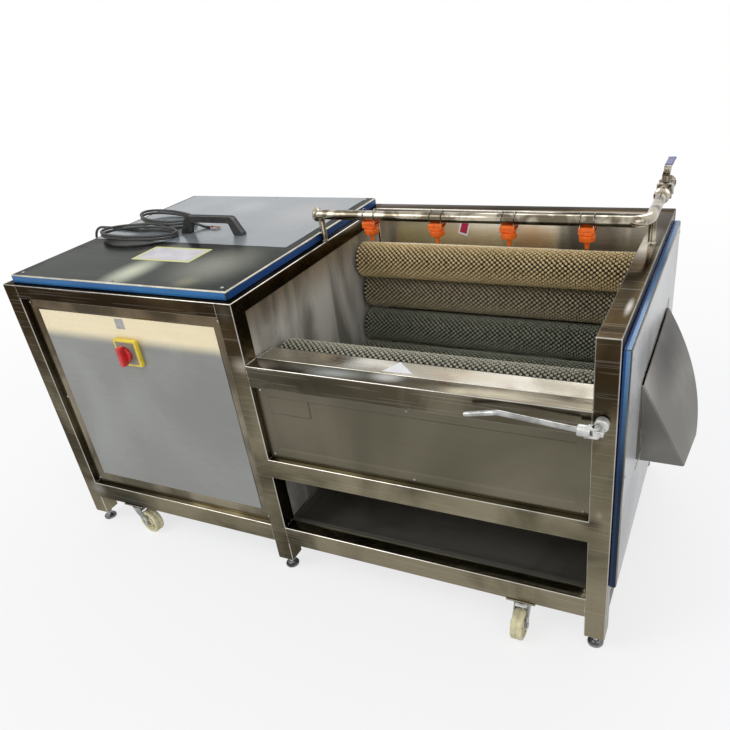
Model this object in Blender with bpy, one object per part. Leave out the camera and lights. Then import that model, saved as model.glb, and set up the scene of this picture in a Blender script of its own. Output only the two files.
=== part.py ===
# Potato washing and peeling machine.
# A welded stainless frame carries a closed drive cabinet on the left and an open tub on the right.
# Nine brush rollers lie along the tub in a trough, a spray pipe crosses it, a flap lets the potatoes
# out through a chute on the right end, and the whole stands on four castors.
# X runs along the machine to the right, Y from front to back, Z up from the floor, in metres.

import math

import bmesh
import bpy
import numpy as np
from mathutils import Matrix, Vector

# General values
GAP = 0.0003                 # left between pieces that touch
RUNNING_GAP = 0.0005         # radial play of a shaft in its hole
OVERRUN = 0.004              # how far a cutter reaches past what it cuts
EMBED = 0.002                # how deep welded pieces enter each other

# Frame
FRAME_LENGTH = 1.695
FRAME_DEPTH = 0.842
FRAME_HEIGHT = 0.856
CABINET_WIDTH = 0.795
TUBE = 0.050                 # square tube of the posts, and depth of every rail
TOP_RAIL = 0.040             # height of the top rails
LOW_RAIL = 0.060             # height of the lower rails
LEG_LENGTH = 0.066           # from the bottom rails down to the end of the legs
MIDDLE_RAIL_Z = 0.346        # underside of the rails under the tub
TUB_RAIL_DROP = 0.165        # from the frame's top to the rail that the potatoes are loaded over

# Castors
WHEEL_RADIUS = 0.040
WHEEL_WIDTH = 0.030
WHEEL_BORE = 0.0056
WHEEL_HUB = 0.013
WHEEL_WEB = 0.012            # thickness between hub and rim
WHEEL_RIM = 0.009
WHEEL_SHOULDER = 0.002
WHEEL_SIDES = 16
AXLE_RADIUS = 0.005
CASTOR_TRAIL = 0.036
CASTOR_FORK_WALL = 0.003
CASTOR_FORK_LENGTH = 0.026   # width of a fork leg at its top
CASTOR_FORK_EYE = 0.011      # half width of a fork leg at the axle
CASTOR_CROWN_RADIUS = 0.025
CASTOR_CROWN_HEIGHT = 0.005
CASTOR_RACE_HEIGHT = 0.007
CASTOR_PLATE = (0.076, 0.056, 0.003)
CASTOR_WHEEL_GAP = 0.0012    # between the wheel's faces and the fork
FORK_SIDES = 8
LEFT_CASTOR_X = 0.194
RIGHT_CASTOR_INSET = 0.159   # from the right posts back to the castors
CASTOR_TURNS = {"front_left": -8.0, "rear_left": 160.0, "front_right": -90.0, "rear_right": 20.0}

# Levelling feet
FOOT_PAD_RADIUS = 0.020
FOOT_PAD_HEIGHT = 0.010
FOOT_STEM_RADIUS = 0.006
FOOT_NUT_RADIUS = 0.011
FOOT_NUT_HEIGHT = 0.008
FOOT_NUT_DROP = 0.012        # from the end of the leg to the nut
FOOT_REACH = 0.034           # how far the stem enters the leg
FOOT_RISE = 0.010            # room above the stem for screwing the foot up
FOOT_FLOOR_GAP = 0.003
FOOT_SIDES = 10

# Sheet pieces
SHEET = 0.002
PANEL_RECESS = 0.016
PANEL_BORDER = 0.030
PANEL_STEP = 0.004
COVER_HEIGHT = 0.0227        # top cover above the frame
COVER_MARGIN_LEFT = 0.026
COVER_MARGIN_RIGHT = 0.020
COVER_MARGIN = 0.017
WALL = 0.003                 # tub walls
WALL_INSET = 0.006           # from the frame's tub side to the wall
TUB_WALL_GAP = 0.014         # from a tub wall to the brushes
LIP_DROP = 0.114             # from the frame's top to the rear wall's lip
LIP_DEPTH = 0.008
HEADER_TOP_GAP = 0.002
APRON_TOP_DROP = 0.001
APRON_FALL = 0.0055
APRON_REACH = 0.072          # from the rail back to the free edge
APRON_SKIRT = 0.052          # from the rail back to the skirt
APRON_SKIRT_END = 0.250      # how far the skirt hangs down
APRON_FLANGE = 0.036
TRAY_DEPTH = 0.028
TRAY_LIP = 0.012
DRAIN_RADIUS = 0.021
DRAIN_LENGTH = 0.030
DRAIN_INSET = 0.110
DRAIN_SIDES = 16

# Brush rollers
ROLLER_COUNT = 9
ROLLER_TURN = 25.78          # degrees between neighbours, seen from the trough's middle
ROLLER_SPACE = 0.004         # between the tips of neighbours
ROLLER_CORE_SHARE = 0.704    # of the radius over the bristle tips
ROLLER_SIDES = 8
ROLLER_RINGS = 9
TUFT_ROOT = 0.0065           # from a tuft's middle to its corners, at the core
TUFT_TIP = 0.0045            # the same at its tip
TUFT_SIDES = 3
TUFT_SPREAD = 2              # one face of the core in so many carries a tuft
TROUGH_MARGIN = 0.012        # from the apron's skirt to the foremost brush
TROUGH_DROP = 0.062          # from the loading rail down to the middle of the trough
SHAFT_RADIUS = 0.012
JOURNAL_RADIUS = 0.008       # the shafts' thinner right ends
SHAFT_SIDES = 12
BEARING_RADIUS = 0.020
BEARING_HEIGHT = 0.014
BEARING_SIDES = 8
SPROCKET_TEETH = 12
SPROCKET_TIP = 0.0385
SPROCKET_ROOT = 0.0320
SPROCKET_THICKNESS = 0.008
SPROCKET_OFFSET = 0.038      # from the bearing's face to the sprocket
SHAFT_END = 0.006            # shaft past the sprocket
SHAFT_PAST_WALL = 0.008      # shaft past the right wall

# Drive
DRIVE_TEETH = 15
DRIVE_TIP = 0.0475
DRIVE_ROOT = 0.0410
DRIVE_HEIGHT = 0.117         # of the drive's axis above the bottom rails
DRIVE_SHAFT_RADIUS = 0.012
DRIVE_SHAFT_DEPTH = 0.040
GEARBOX = (0.130, 0.140, 0.150)
GEARBOX_GAP = 0.050          # from the gearbox to the sprocket
MOTOR_RADIUS = 0.070
MOTOR_LENGTH = 0.230
MOTOR_SIDES = 20
MOTOR_FOOT = 0.050
MOTOR_BASE = (0.320, 0.008)  # width along the machine, and thickness
MOTOR_BASE_MARGIN = 0.026
MOTOR_BASE_PAST = 0.010

# Discharge
OUTLET_WIDTH = 0.195
OUTLET_FORWARD = 0.0185      # outlet's middle before that of the trough
OUTLET_RISE = 0.011          # top edge above the middle of the trough
OUTLET_SILL = 0.008          # above the lowest brushes
FLAP_MARGIN = 0.008
FLAP_LIFT = 0.0207           # from the outlet's top to the flap's flange
DOOR_SHAFT_RADIUS = 0.009
DOOR_SHAFT_STANDOFF = 0.013  # from the tub wall to the shaft's axis
DOOR_SHAFT_REACH = 0.014     # depth of the shaft's end in the rear post
FLAP_WALL_GAP = 0.0015
END_COVER_DEPTH = 0.016
END_COVER_MARGIN = 0.017
END_COVER_RAISE = 0.042      # above the bottom rail
END_COVER_DROP = 0.029       # under the frame's top
END_COVER_HOLE_MARGIN = 0.012
CHUTE_FALL = 0.062           # below the outlet's sill
CHUTE_FRONT_SPREAD = 0.088   # top edge before the outlet
CHUTE_REAR_SPREAD = 0.160    # top edge behind the outlet
CHUTE_REAR_PINCH = 0.040     # lower edge before the outlet's rear edge
CHUTE_ROOT = 0.005           # depth of the chute along its top edge
CHUTE_FRONT_DEPTH = 0.103
CHUTE_REAR_DEPTH = 0.117
CHUTE_SHEET = 0.0025
CHUTE_ROWS = 6

# Discharge lever
HUB_RADIUS = 0.0148
HUB_FRONT = 0.0235           # front face of the hub, before the frame's face
HUB_BACK = 0.004
TONGUE_WIDTH = 0.016
TONGUE_HEIGHT = 0.012
TONGUE_DROP = 0.0075         # from the shaft's axis down to the tongue
PIN_OFFSET = 0.008           # from the shaft's axis to the pin
PIN_RADIUS = 0.004
YOKE_PLATE = 0.0065
YOKE_CLEARANCE = 0.0008      # between the yoke and the hub's front face
YOKE_ROOT = 0.010            # from the pin to where the yoke closes
SLEEVE_RADIUS = 0.0125
SLEEVE_LENGTH = 0.026
ROD_RADIUS = 0.0062
ROD_SIDES = 8
ROD_RUN = (0.167, 0.0145)    # long stretch: along, up
ROD_TAIL = (0.073, -0.0155)  # bent end: along, down

# Spray pipe
PIPE_RADIUS = 0.0135
PIPE_SIDES = 12
PIPE_BEHIND = 0.047          # behind the middle of the frame
PIPE_RAISE = 0.075           # above the frame's top
PIPE_LEFT_PAST = 0.009       # past the tub, on to the cabinet
PIPE_BEND = 0.045
PIPE_BEND_STEPS = 5
PIPE_BACK_RUN = 0.222        # from the pipe's line to its end at the back
FERRULE_RADIUS = 0.020
FERRULE_LENGTH = 0.007
FERRULE_INSET = 0.012
STUB_RADIUS = 0.009
STUB_SIDES = 12
RIGHT_STUB_RUN = 0.077       # from the pipe's line to the right stub
VALVE_BODY = (0.021, 0.060)  # radius, length
VALVE_LENGTH = 0.135
VALVE_NECK = 0.0145
VALVE_STEM_RADIUS = 0.006
VALVE_BONNET_RADIUS = 0.011
VALVE_BONNET_TOP = 0.036     # above the pipe's axis
VALVE_STEM_TOP = 0.052
LEVER_THICKNESS = 0.003
LEVER_WIDTH = 0.017
LEVER_RISE = 0.014
LEVER_EYE = 0.013
LEVER_LENGTH = 0.118

# Nozzles
NOZZLE_COUNT = 4
NOZZLE_LEFT = 0.147          # from the tub's ends to the first and the last nozzle
NOZZLE_RIGHT = 0.115
CLIP = (0.040, 0.034, 0.020)
CLIP_CAP_RADIUS = 0.020
CLIP_CAP_HEIGHT = 0.016
CLIP_SIDES = 12
SOCKET_RADIUS = 0.0105
SOCKET_DEPTH = 0.014
BALL_RADIUS = 0.0100
BALL_DEPTH = 0.003           # centre of the ball above the cap's lower edge
TIP_RADIUS = 0.0062
TIP_END_RADIUS = 0.0050
TIP_LENGTH = 0.023
NOZZLE_TILT = 15.0

# Switch
SWITCH_X = 0.391
SWITCH_DROP = 0.178          # under the frame's top
SWITCH_PLATE = 0.080
SWITCH_BOX_DEPTH = 0.012
SWITCH_COLLAR_RADIUS = 0.026
SWITCH_COLLAR_DEPTH = 0.004
KNOB_RADIUS = 0.022
KNOB_DEPTH = 0.010
KNOB_GRIP = (0.016, 0.016, 0.058)
KNOB_SIDES = 16

# Handle on the top cover
HANDLE_X = 0.4285
HANDLE_SPAN = 0.223          # over the feet
HANDLE_TOP_SPAN = 0.170
HANDLE_HEIGHT = 0.052
HANDLE_WIDTH = 0.020
HANDLE_BAR = 0.014
HANDLE_FOOT = 0.026

# Cord
CORD_RADIUS = 0.004
CORD_LIFT = 0.0004           # between the cord and the cover it lies on
HANK_RISE = 0.0090           # from one turn to the one above
HANK_TURNS = 2
HANK_STEPS = 24
CLIMB_START = 0.30           # share of a turn after which it starts to climb
CLIMB_SHARE = 0.35
LOBES = {                    # centre, half length, half width, tilt of each lobe of the hank
    "front": ((0.188, 0.364), 0.132, 0.058, 6.0),
    "rear": ((0.172, 0.516), 0.126, 0.058, -16.0),
}
LOBE_STARTS = {"front": 105.0, "rear": -38.0}
GLAND_Y = 0.430
GLAND_DROP = 0.016           # under the top rail
GLAND_PROFILE = ((0.0, 0.0125), (0.006, 0.0125), (0.0075, 0.0105), (0.018, 0.0105), (0.026, 0.0062))
GLAND_SIDES = 12
CORD_STRAIGHT = 0.024        # from the gland to the start of the bend
CORD_BEND_STEPS = 10
CORD_ON_COVER = ((-0.0100, 0.4300), (0.0150, 0.4285), (0.0400, 0.4260), (0.0650, 0.4235), (0.0900, 0.4215))
HANK_LEAD = ((0.0903, 0.4215), (0.1080, 0.4190), (0.1280, 0.4165))
HANK_CROSSING = (            # from the front lobe over to the rear one: x, y, height above the first turn
    (0.1660, 0.4205, 0.0184), (0.1840, 0.4265, 0.0178), (0.2020, 0.4325, 0.0141),
    (0.2200, 0.4390, 0.0074), (0.2380, 0.4462, 0.0016),
)
HANK_TAIL = (                # the free end, down on to the cover behind the handle
    (0.2755, 0.4600, 0.0184), (0.2935, 0.4640, 0.0181), (0.3115, 0.4665, 0.0151), (0.3290, 0.4675, 0.0096),
    (0.3470, 0.4680, 0.0041), (0.3640, 0.4680, 0.0004), (0.3780, 0.4680, 0.0),
)

# Worked out from the values above
BOTTOM_RAIL_Z = 0.108        # underside of the bottom rails: the height of a castor
LEG_END_Z = BOTTOM_RAIL_Z - LEG_LENGTH
BOTTOM_RAIL_TOP = BOTTOM_RAIL_Z + LOW_RAIL
MIDDLE_RAIL_TOP = MIDDLE_RAIL_Z + LOW_RAIL
TUB_RAIL_TOP = FRAME_HEIGHT - TUB_RAIL_DROP
TUB_RAIL_Z = TUB_RAIL_TOP - LOW_RAIL
TOP_RAIL_Z = FRAME_HEIGHT - TOP_RAIL
REAR_FACE = FRAME_DEPTH - TUBE
MIDDLE_POST_X = CABINET_WIDTH - TUBE
RIGHT_POST_X = FRAME_LENGTH - TUBE
LEFT_WALL_X = CABINET_WIDTH - WALL_INSET - WALL
RIGHT_WALL_X = RIGHT_POST_X + WALL_INSET
BRUSH_START = LEFT_WALL_X + WALL + TUB_WALL_GAP
BRUSH_END = RIGHT_WALL_X - TUB_WALL_GAP
COVER_TOP = FRAME_HEIGHT + GAP + COVER_HEIGHT
TROUGH_Y = FRAME_DEPTH / 2
TROUGH_Z = TUB_RAIL_TOP - TROUGH_DROP
ROLLER_STEP = math.radians(ROLLER_TURN)
TROUGH_REACH = FRAME_DEPTH / 2 - TUBE - APRON_SKIRT - SHEET - TROUGH_MARGIN
TROUGH_RADIUS = (TROUGH_REACH + ROLLER_SPACE / 2) / (1 + math.sin(ROLLER_STEP / 2))
ROLLER_RADIUS = TROUGH_REACH - TROUGH_RADIUS
ROLLER_CORE = ROLLER_RADIUS * ROLLER_CORE_SHARE
ROLLER_PLACES = [
    (TROUGH_Y + TROUGH_RADIUS * math.cos(ROLLER_STEP * (1 - i)),
     TROUGH_Z + TROUGH_RADIUS * math.sin(ROLLER_STEP * (1 - i)))
    for i in range(ROLLER_COUNT)
]
SPROCKET_X = LEFT_WALL_X - BEARING_HEIGHT - SPROCKET_OFFSET - SPROCKET_THICKNESS
OUTLET_Z = TROUGH_Z - TROUGH_RADIUS + ROLLER_RADIUS + OUTLET_SILL
OUTLET_TOP = TROUGH_Z + OUTLET_RISE
OUTLET_Y = TROUGH_Y - OUTLET_FORWARD - OUTLET_WIDTH / 2
DOOR_SHAFT_X = RIGHT_WALL_X + WALL + DOOR_SHAFT_STANDOFF
DOOR_SHAFT_Z = OUTLET_TOP + FLAP_LIFT + WALL + GAP + DOOR_SHAFT_RADIUS
DRIVE_AXIS_Z = BOTTOM_RAIL_TOP + DRIVE_HEIGHT
LIP_Z = FRAME_HEIGHT - LIP_DROP
END_COVER_BOTTOM = BOTTOM_RAIL_TOP + END_COVER_RAISE
END_COVER_TOP = FRAME_HEIGHT - END_COVER_DROP
CHUTE_TOP = OUTLET_TOP
CHUTE_BOTTOM = OUTLET_Z - CHUTE_FALL
CHUTE_FRONT_TOP = OUTLET_Y - CHUTE_FRONT_SPREAD
CHUTE_FRONT_BOTTOM = OUTLET_Y
CHUTE_REAR_TOP = OUTLET_Y + OUTLET_WIDTH + CHUTE_REAR_SPREAD
CHUTE_REAR_BOTTOM = OUTLET_Y + OUTLET_WIDTH - CHUTE_REAR_PINCH
SWITCH_CENTRE = (SWITCH_X, FRAME_HEIGHT - SWITCH_DROP)
HANDLE_CENTRE = (HANDLE_X, FRAME_DEPTH / 2)
GLAND_Z = TOP_RAIL_Z - GLAND_DROP
PIPE_Y = FRAME_DEPTH / 2 + PIPE_BEHIND
PIPE_Z = FRAME_HEIGHT + PIPE_RAISE
PIPE_LEFT_X = CABINET_WIDTH - PIPE_LEFT_PAST
PIPE_BACK_END = PIPE_Y + PIPE_BACK_RUN
RIGHT_STUB_Y = PIPE_Y + RIGHT_STUB_RUN
NOZZLE_FIRST_X = CABINET_WIDTH + NOZZLE_LEFT
NOZZLE_PITCH = (RIGHT_POST_X - NOZZLE_RIGHT - NOZZLE_FIRST_X) / (NOZZLE_COUNT - 1)
COVER_PLATE_X = FRAME_LENGTH + GAP
CHUTE_X = COVER_PLATE_X + END_COVER_DEPTH + GAP
PIN_X = DOOR_SHAFT_X - PIN_OFFSET
LEVER_Y = -(HUB_FRONT + YOKE_CLEARANCE + TONGUE_WIDTH / 2)
LEVER_Z = DOOR_SHAFT_Z - TONGUE_DROP
PIPE_RIGHT_X = RIGHT_POST_X + TUBE / 2
VALVE_START = PIPE_BACK_END + GAP
VALVE_CENTRE_Y = VALVE_START + VALVE_LENGTH / 2
CLIP_TOP = PIPE_Z - PIPE_RADIUS - GAP
CAP_BOTTOM = CLIP_TOP - CLIP[2] - CLIP_CAP_HEIGHT
BALL_Z = CAP_BOTTOM + BALL_DEPTH
CORD_LEVEL = COVER_TOP + CORD_LIFT + CORD_RADIUS
GLAND_END_X = PANEL_RECESS - GAP - GLAND_PROFILE[-1][0]
RIGHT_CASTOR_X = RIGHT_POST_X - RIGHT_CASTOR_INSET
CASTOR_TOP = BOTTOM_RAIL_Z - CASTOR_PLATE[2] - CASTOR_RACE_HEIGHT - GAP
CASTOR_SPOTS = {
    "front_left": (LEFT_CASTOR_X, TUBE / 2),
    "rear_left": (LEFT_CASTOR_X, FRAME_DEPTH - TUBE / 2),
    "front_right": (RIGHT_CASTOR_X, TUBE / 2),
    "rear_right": (RIGHT_CASTOR_X, FRAME_DEPTH - TUBE / 2),
}
LEG_SPOTS = {
    "front_left": (TUBE / 2, TUBE / 2),
    "rear_left": (TUBE / 2, FRAME_DEPTH - TUBE / 2),
    "front_middle": (MIDDLE_POST_X + TUBE / 2, TUBE / 2),
    "rear_middle": (MIDDLE_POST_X + TUBE / 2, FRAME_DEPTH - TUBE / 2),
    "front_right": (RIGHT_POST_X + TUBE / 2, TUBE / 2),
    "rear_right": (RIGHT_POST_X + TUBE / 2, FRAME_DEPTH - TUBE / 2),
}

# The origin is under the middle of the whole machine, the cord left out
REACH_LEFT = GLAND_END_X
REACH_RIGHT = CHUTE_X + CHUTE_REAR_DEPTH
REACH_FRONT = TUBE / 2 - CASTOR_TRAIL - WHEEL_RADIUS
REACH_BACK = VALVE_CENTRE_Y + LEVER_LENGTH
ORIGIN = Vector(((REACH_LEFT + REACH_RIGHT) / 2, (REACH_FRONT + REACH_BACK) / 2, 0))

# Finishes: colour, metallic, roughness
FINISHES = {
    "stainless": ((0.50, 0.47, 0.43), 0.9, 0.34),
    "sheet": ((0.58, 0.57, 0.55), 0.8, 0.38),
    "film": ((0.70, 0.76, 0.80), 0.1, 0.32),
    "zinc": ((0.55, 0.56, 0.57), 0.9, 0.42),
    "nylon": ((0.83, 0.80, 0.60), 0.0, 0.45),
    "brush": ((0.52, 0.47, 0.33), 0.0, 0.80),
    "orange": ((0.95, 0.27, 0.02), 0.0, 0.45),
    "black": ((0.03, 0.03, 0.03), 0.0, 0.50),
    "yellow": ((0.90, 0.74, 0.08), 0.0, 0.45),
    "red": ((0.75, 0.04, 0.04), 0.0, 0.40),
    "blue": ((0.03, 0.10, 0.42), 0.0, 0.40),
    "cast": ((0.72, 0.71, 0.68), 0.6, 0.45),
    "motor": ((0.12, 0.23, 0.40), 0.3, 0.50),
}


# Starting clean

def clear_scene():
    for old in list(bpy.data.objects):
        bpy.data.objects.remove(old, do_unlink=True)


def finish_material(name):
    material = bpy.data.materials.get(name) or bpy.data.materials.new(name)
    colour, metallic, roughness = FINISHES[name]
    material.use_nodes = True
    shader = material.node_tree.nodes["Principled BSDF"]
    shader.inputs["Base Color"].default_value = (*colour, 1)
    shader.inputs["Metallic"].default_value = metallic
    shader.inputs["Roughness"].default_value = roughness
    return material


# Plain solids, each as a loose object that a node is welded from

def loose(bm, name="stock"):
    bmesh.ops.recalc_face_normals(bm, faces=bm.faces)
    mesh = bpy.data.meshes.new(name)
    bm.to_mesh(mesh)
    bm.free()
    obj = bpy.data.objects.new(name, mesh)
    bpy.context.scene.collection.objects.link(obj)
    return obj


def box(low, high):
    bm = bmesh.new()
    bmesh.ops.create_cube(bm, size=1)
    low = Vector(low)
    high = Vector(high)
    spread = Matrix.Diagonal(high - low)
    for vert in bm.verts:
        vert.co = (low + high) / 2 + spread @ vert.co
    return loose(bm)


def prism(outline, axis, start, end):
    # A closed outline of two coordinates, carried along the third axis from start to end
    others = [i for i in range(3) if i != axis]
    bm = bmesh.new()
    rings = []
    for level in (start, end):
        ring = []
        for point in outline:
            co = [0, 0, 0]
            co[axis] = level
            co[others[0]], co[others[1]] = point
            ring.append(bm.verts.new(co))
        rings.append(ring)
    count = len(outline)
    bm.faces.new(rings[0])
    bm.faces.new(rings[1])
    for i in range(count):
        j = (i + 1) % count
        bm.faces.new((rings[0][i], rings[0][j], rings[1][j], rings[1][i]))
    return loose(bm)


def sideways(axis):
    # A level direction across the axis, or X where the axis is upright
    level = axis.cross(Vector((0, 0, 1)))
    return level.normalized() if level.length > EMBED else Vector((1, 0, 0))


def sweep(points, radii, sides, turn=0.5):
    # A round bar through the points, with its own radius at each, closed at both ends
    path = [Vector(point) for point in points]
    tangents = []
    for i, point in enumerate(path):
        before = path[max(i - 1, 0)]
        after = path[min(i + 1, len(path) - 1)]
        tangents.append((after - before).normalized())
    side = sideways(tangents[0])
    bm = bmesh.new()
    rings = []
    for point, tangent, radius in zip(path, tangents, radii):
        side = (side - tangent * side.dot(tangent)).normalized()
        up = tangent.cross(side)
        ring = []
        for i in range(sides):
            angle = 2 * math.pi * (i + turn) / sides
            ring.append(bm.verts.new(point + radius * (math.cos(angle) * side + math.sin(angle) * up)))
        rings.append(ring)
    for first, second in zip(rings, rings[1:]):
        for i in range(sides):
            j = (i + 1) % sides
            bm.faces.new((first[i], first[j], second[j], second[i]))
    bm.faces.new(rings[0])
    bm.faces.new(rings[-1])
    return loose(bm)


def bar(start, end, radius, sides, turn=0.5):
    return sweep((start, end), (radius, radius), sides, turn)


def turned(profile, axis, base, sides, turn=0.5):
    # A profile of (distance, radius) pairs, turned about a line through base along axis
    base = Vector(base)
    axis = Vector(axis).normalized()
    side = sideways(axis)
    up = axis.cross(side)
    bm = bmesh.new()
    rings = []
    for distance, radius in profile:
        ring = []
        for i in range(sides):
            angle = 2 * math.pi * (i + turn) / sides
            ring.append(bm.verts.new(
                base + axis * distance + radius * (math.cos(angle) * side + math.sin(angle) * up)))
        rings.append(ring)
    for first, second in zip(rings, rings[1:]):
        for i in range(sides):
            j = (i + 1) % sides
            bm.faces.new((first[i], first[j], second[j], second[i]))
    bm.faces.new(rings[0])
    bm.faces.new(rings[-1])
    return loose(bm)


def ring_body(profile, axis, base, sides, turn=0.5):
    # As turned, but the profile is a closed loop, so the body has a bore
    base = Vector(base)
    axis = Vector(axis).normalized()
    side = sideways(axis)
    up = axis.cross(side)
    bm = bmesh.new()
    rings = []
    for i in range(sides):
        angle = 2 * math.pi * (i + turn) / sides
        out = math.cos(angle) * side + math.sin(angle) * up
        rings.append([bm.verts.new(base + axis * distance + out * radius) for distance, radius in profile])
    count = len(profile)
    for i in range(sides):
        first = rings[i]
        second = rings[(i + 1) % sides]
        for j in range(count):
            k = (j + 1) % count
            bm.faces.new((first[j], second[j], second[k], first[k]))
    return loose(bm)


def toothed_disc(teeth, tip, root, thickness, start):
    # A sprocket about the X axis through the origin: two tip points and a root point a tooth
    outline = []
    for i in range(teeth):
        for share, radius in ((0.0, root), (0.5, tip)):
            angle = 2 * math.pi * (i + share) / teeth
            outline.append((radius * math.cos(angle), radius * math.sin(angle)))
    return prism(outline, 0, start, start + thickness)


# Welding loose solids into a node

def welded(solids, cuts=()):
    first = solids[0]
    groups = (("UNION", solids[1:]), ("DIFFERENCE", list(cuts)))
    used = []
    for operation, others in groups:
        if not others:
            continue
        group = bpy.data.collections.new(operation.lower())
        bpy.context.scene.collection.children.link(group)
        for other in others:
            group.objects.link(other)
            other.hide_render = True
            other.display_type = "WIRE"
        modifier = first.modifiers.new(operation.lower(), "BOOLEAN")
        modifier.operation = operation
        modifier.operand_type = "COLLECTION"
        modifier.collection = group
        modifier.solver = "EXACT"
        used.append(group)
    bpy.context.view_layer.update()
    graph = bpy.context.evaluated_depsgraph_get()
    mesh = bpy.data.meshes.new_from_object(first.evaluated_get(graph), depsgraph=graph)
    for group in used:
        bpy.data.collections.remove(group)
    for solid in list(solids) + list(cuts):
        bpy.data.objects.remove(solid, do_unlink=True)
    return mesh


def node(name, mesh, finish, pivot=(0, 0, 0), smooth=False, turn=None):
    # The mesh is in machine places; the object's origin goes to the pivot
    mesh = mesh if isinstance(mesh, bpy.types.Mesh) else welded([mesh])
    mesh.name = name
    if pivot != (0, 0, 0):
        mesh.transform(Matrix.Translation(-Vector(pivot)))
    if smooth:
        mesh.shade_smooth()
        mesh.set_sharp_from_angle(angle=math.radians(35))
    mesh.materials.clear()
    mesh.materials.append(finish_material(finish))
    return placed(name, mesh, pivot, turn)


def placed(name, mesh, pivot, turn=None):
    obj = bpy.data.objects.new(name, mesh)
    obj.location = pivot
    if turn is not None:
        obj.rotation_euler = turn
    obj.parent = machine
    bpy.context.scene.collection.objects.link(obj)
    return obj


# Frame

def post(x, y, bottom=LEG_END_Z, top=FRAME_HEIGHT):
    return box((x, y, bottom), (x + TUBE, y + TUBE, top))


def side_rail(x, bottom, top):
    return box((x, 0, bottom), (x + TUBE, FRAME_DEPTH, top))


def long_rail(y, start, end, bottom, top):
    return box((start, y, bottom), (end, y + TUBE, top))


def castor_seats(spots):
    # The plate and the bearing race of each castor, under the bottom rail
    seats = []
    length, width, height = CASTOR_PLATE
    for x, y in spots:
        seats.append(box((x - length / 2, y - width / 2, BOTTOM_RAIL_Z - height),
                         (x + length / 2, y + width / 2, BOTTOM_RAIL_Z + EMBED)))
        seats.append(bar((x, y, BOTTOM_RAIL_Z - height - CASTOR_RACE_HEIGHT),
                         (x, y, BOTTOM_RAIL_Z - height + EMBED / 2), CASTOR_CROWN_RADIUS, SHAFT_SIDES))
    return seats


def foot_bores(spots):
    radius = (FOOT_STEM_RADIUS + RUNNING_GAP) / math.cos(math.pi / FOOT_SIDES)
    return [bar((x, y, LEG_END_Z - OVERRUN), (x, y, LEG_END_Z + FOOT_REACH + FOOT_RISE), radius, FOOT_SIDES)
            for x, y in spots]


def build_cabinet_frame():
    end = MIDDLE_POST_X - GAP
    solids = [
        post(0, 0),
        post(0, REAR_FACE),
        side_rail(0, TOP_RAIL_Z, FRAME_HEIGHT),
        side_rail(0, BOTTOM_RAIL_Z, BOTTOM_RAIL_TOP),
    ]
    for y in (0, REAR_FACE):
        solids.append(long_rail(y, 0, end, TOP_RAIL_Z, FRAME_HEIGHT))
        solids.append(long_rail(y, 0, end, BOTTOM_RAIL_Z, BOTTOM_RAIL_TOP))
    solids += castor_seats([CASTOR_SPOTS["front_left"], CASTOR_SPOTS["rear_left"]])
    cuts = foot_bores([LEG_SPOTS["front_left"], LEG_SPOTS["rear_left"]])
    node("cabinet_frame", welded(solids, cuts), "stainless")


def build_middle_frame():
    solids = [
        post(MIDDLE_POST_X, 0),
        post(MIDDLE_POST_X, REAR_FACE),
        side_rail(MIDDLE_POST_X, TOP_RAIL_Z, FRAME_HEIGHT),
        side_rail(MIDDLE_POST_X, BOTTOM_RAIL_Z, BOTTOM_RAIL_TOP),
    ]
    cuts = foot_bores([LEG_SPOTS["front_middle"], LEG_SPOTS["rear_middle"]])
    node("middle_frame", welded(solids, cuts), "stainless")


def door_shaft_bore():
    radius = (DOOR_SHAFT_RADIUS + RUNNING_GAP) / math.cos(math.pi / SHAFT_SIDES)
    end = REAR_FACE + DOOR_SHAFT_REACH + GAP
    return bar((DOOR_SHAFT_X, -OVERRUN, DOOR_SHAFT_Z), (DOOR_SHAFT_X, end, DOOR_SHAFT_Z), radius, SHAFT_SIDES)


def build_tub_frame():
    start = CABINET_WIDTH + GAP
    solids = [
        post(RIGHT_POST_X, 0),
        post(RIGHT_POST_X, REAR_FACE),
        side_rail(RIGHT_POST_X, TOP_RAIL_Z, FRAME_HEIGHT),
        side_rail(RIGHT_POST_X, BOTTOM_RAIL_Z, BOTTOM_RAIL_TOP),
        long_rail(0, start, FRAME_LENGTH, TUB_RAIL_Z, TUB_RAIL_TOP),
        long_rail(REAR_FACE, start, FRAME_LENGTH, TOP_RAIL_Z, FRAME_HEIGHT),
    ]
    for y in (0, REAR_FACE):
        solids.append(long_rail(y, start, FRAME_LENGTH, MIDDLE_RAIL_Z, MIDDLE_RAIL_TOP))
        solids.append(long_rail(y, start, FRAME_LENGTH, BOTTOM_RAIL_Z, BOTTOM_RAIL_TOP))
    solids += castor_seats([CASTOR_SPOTS["front_right"], CASTOR_SPOTS["rear_right"]])
    cuts = foot_bores([LEG_SPOTS["front_right"], LEG_SPOTS["rear_right"]]) + [door_shaft_bore()]
    node("tub_frame", welded(solids, cuts), "stainless")


# Sheet panels

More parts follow.
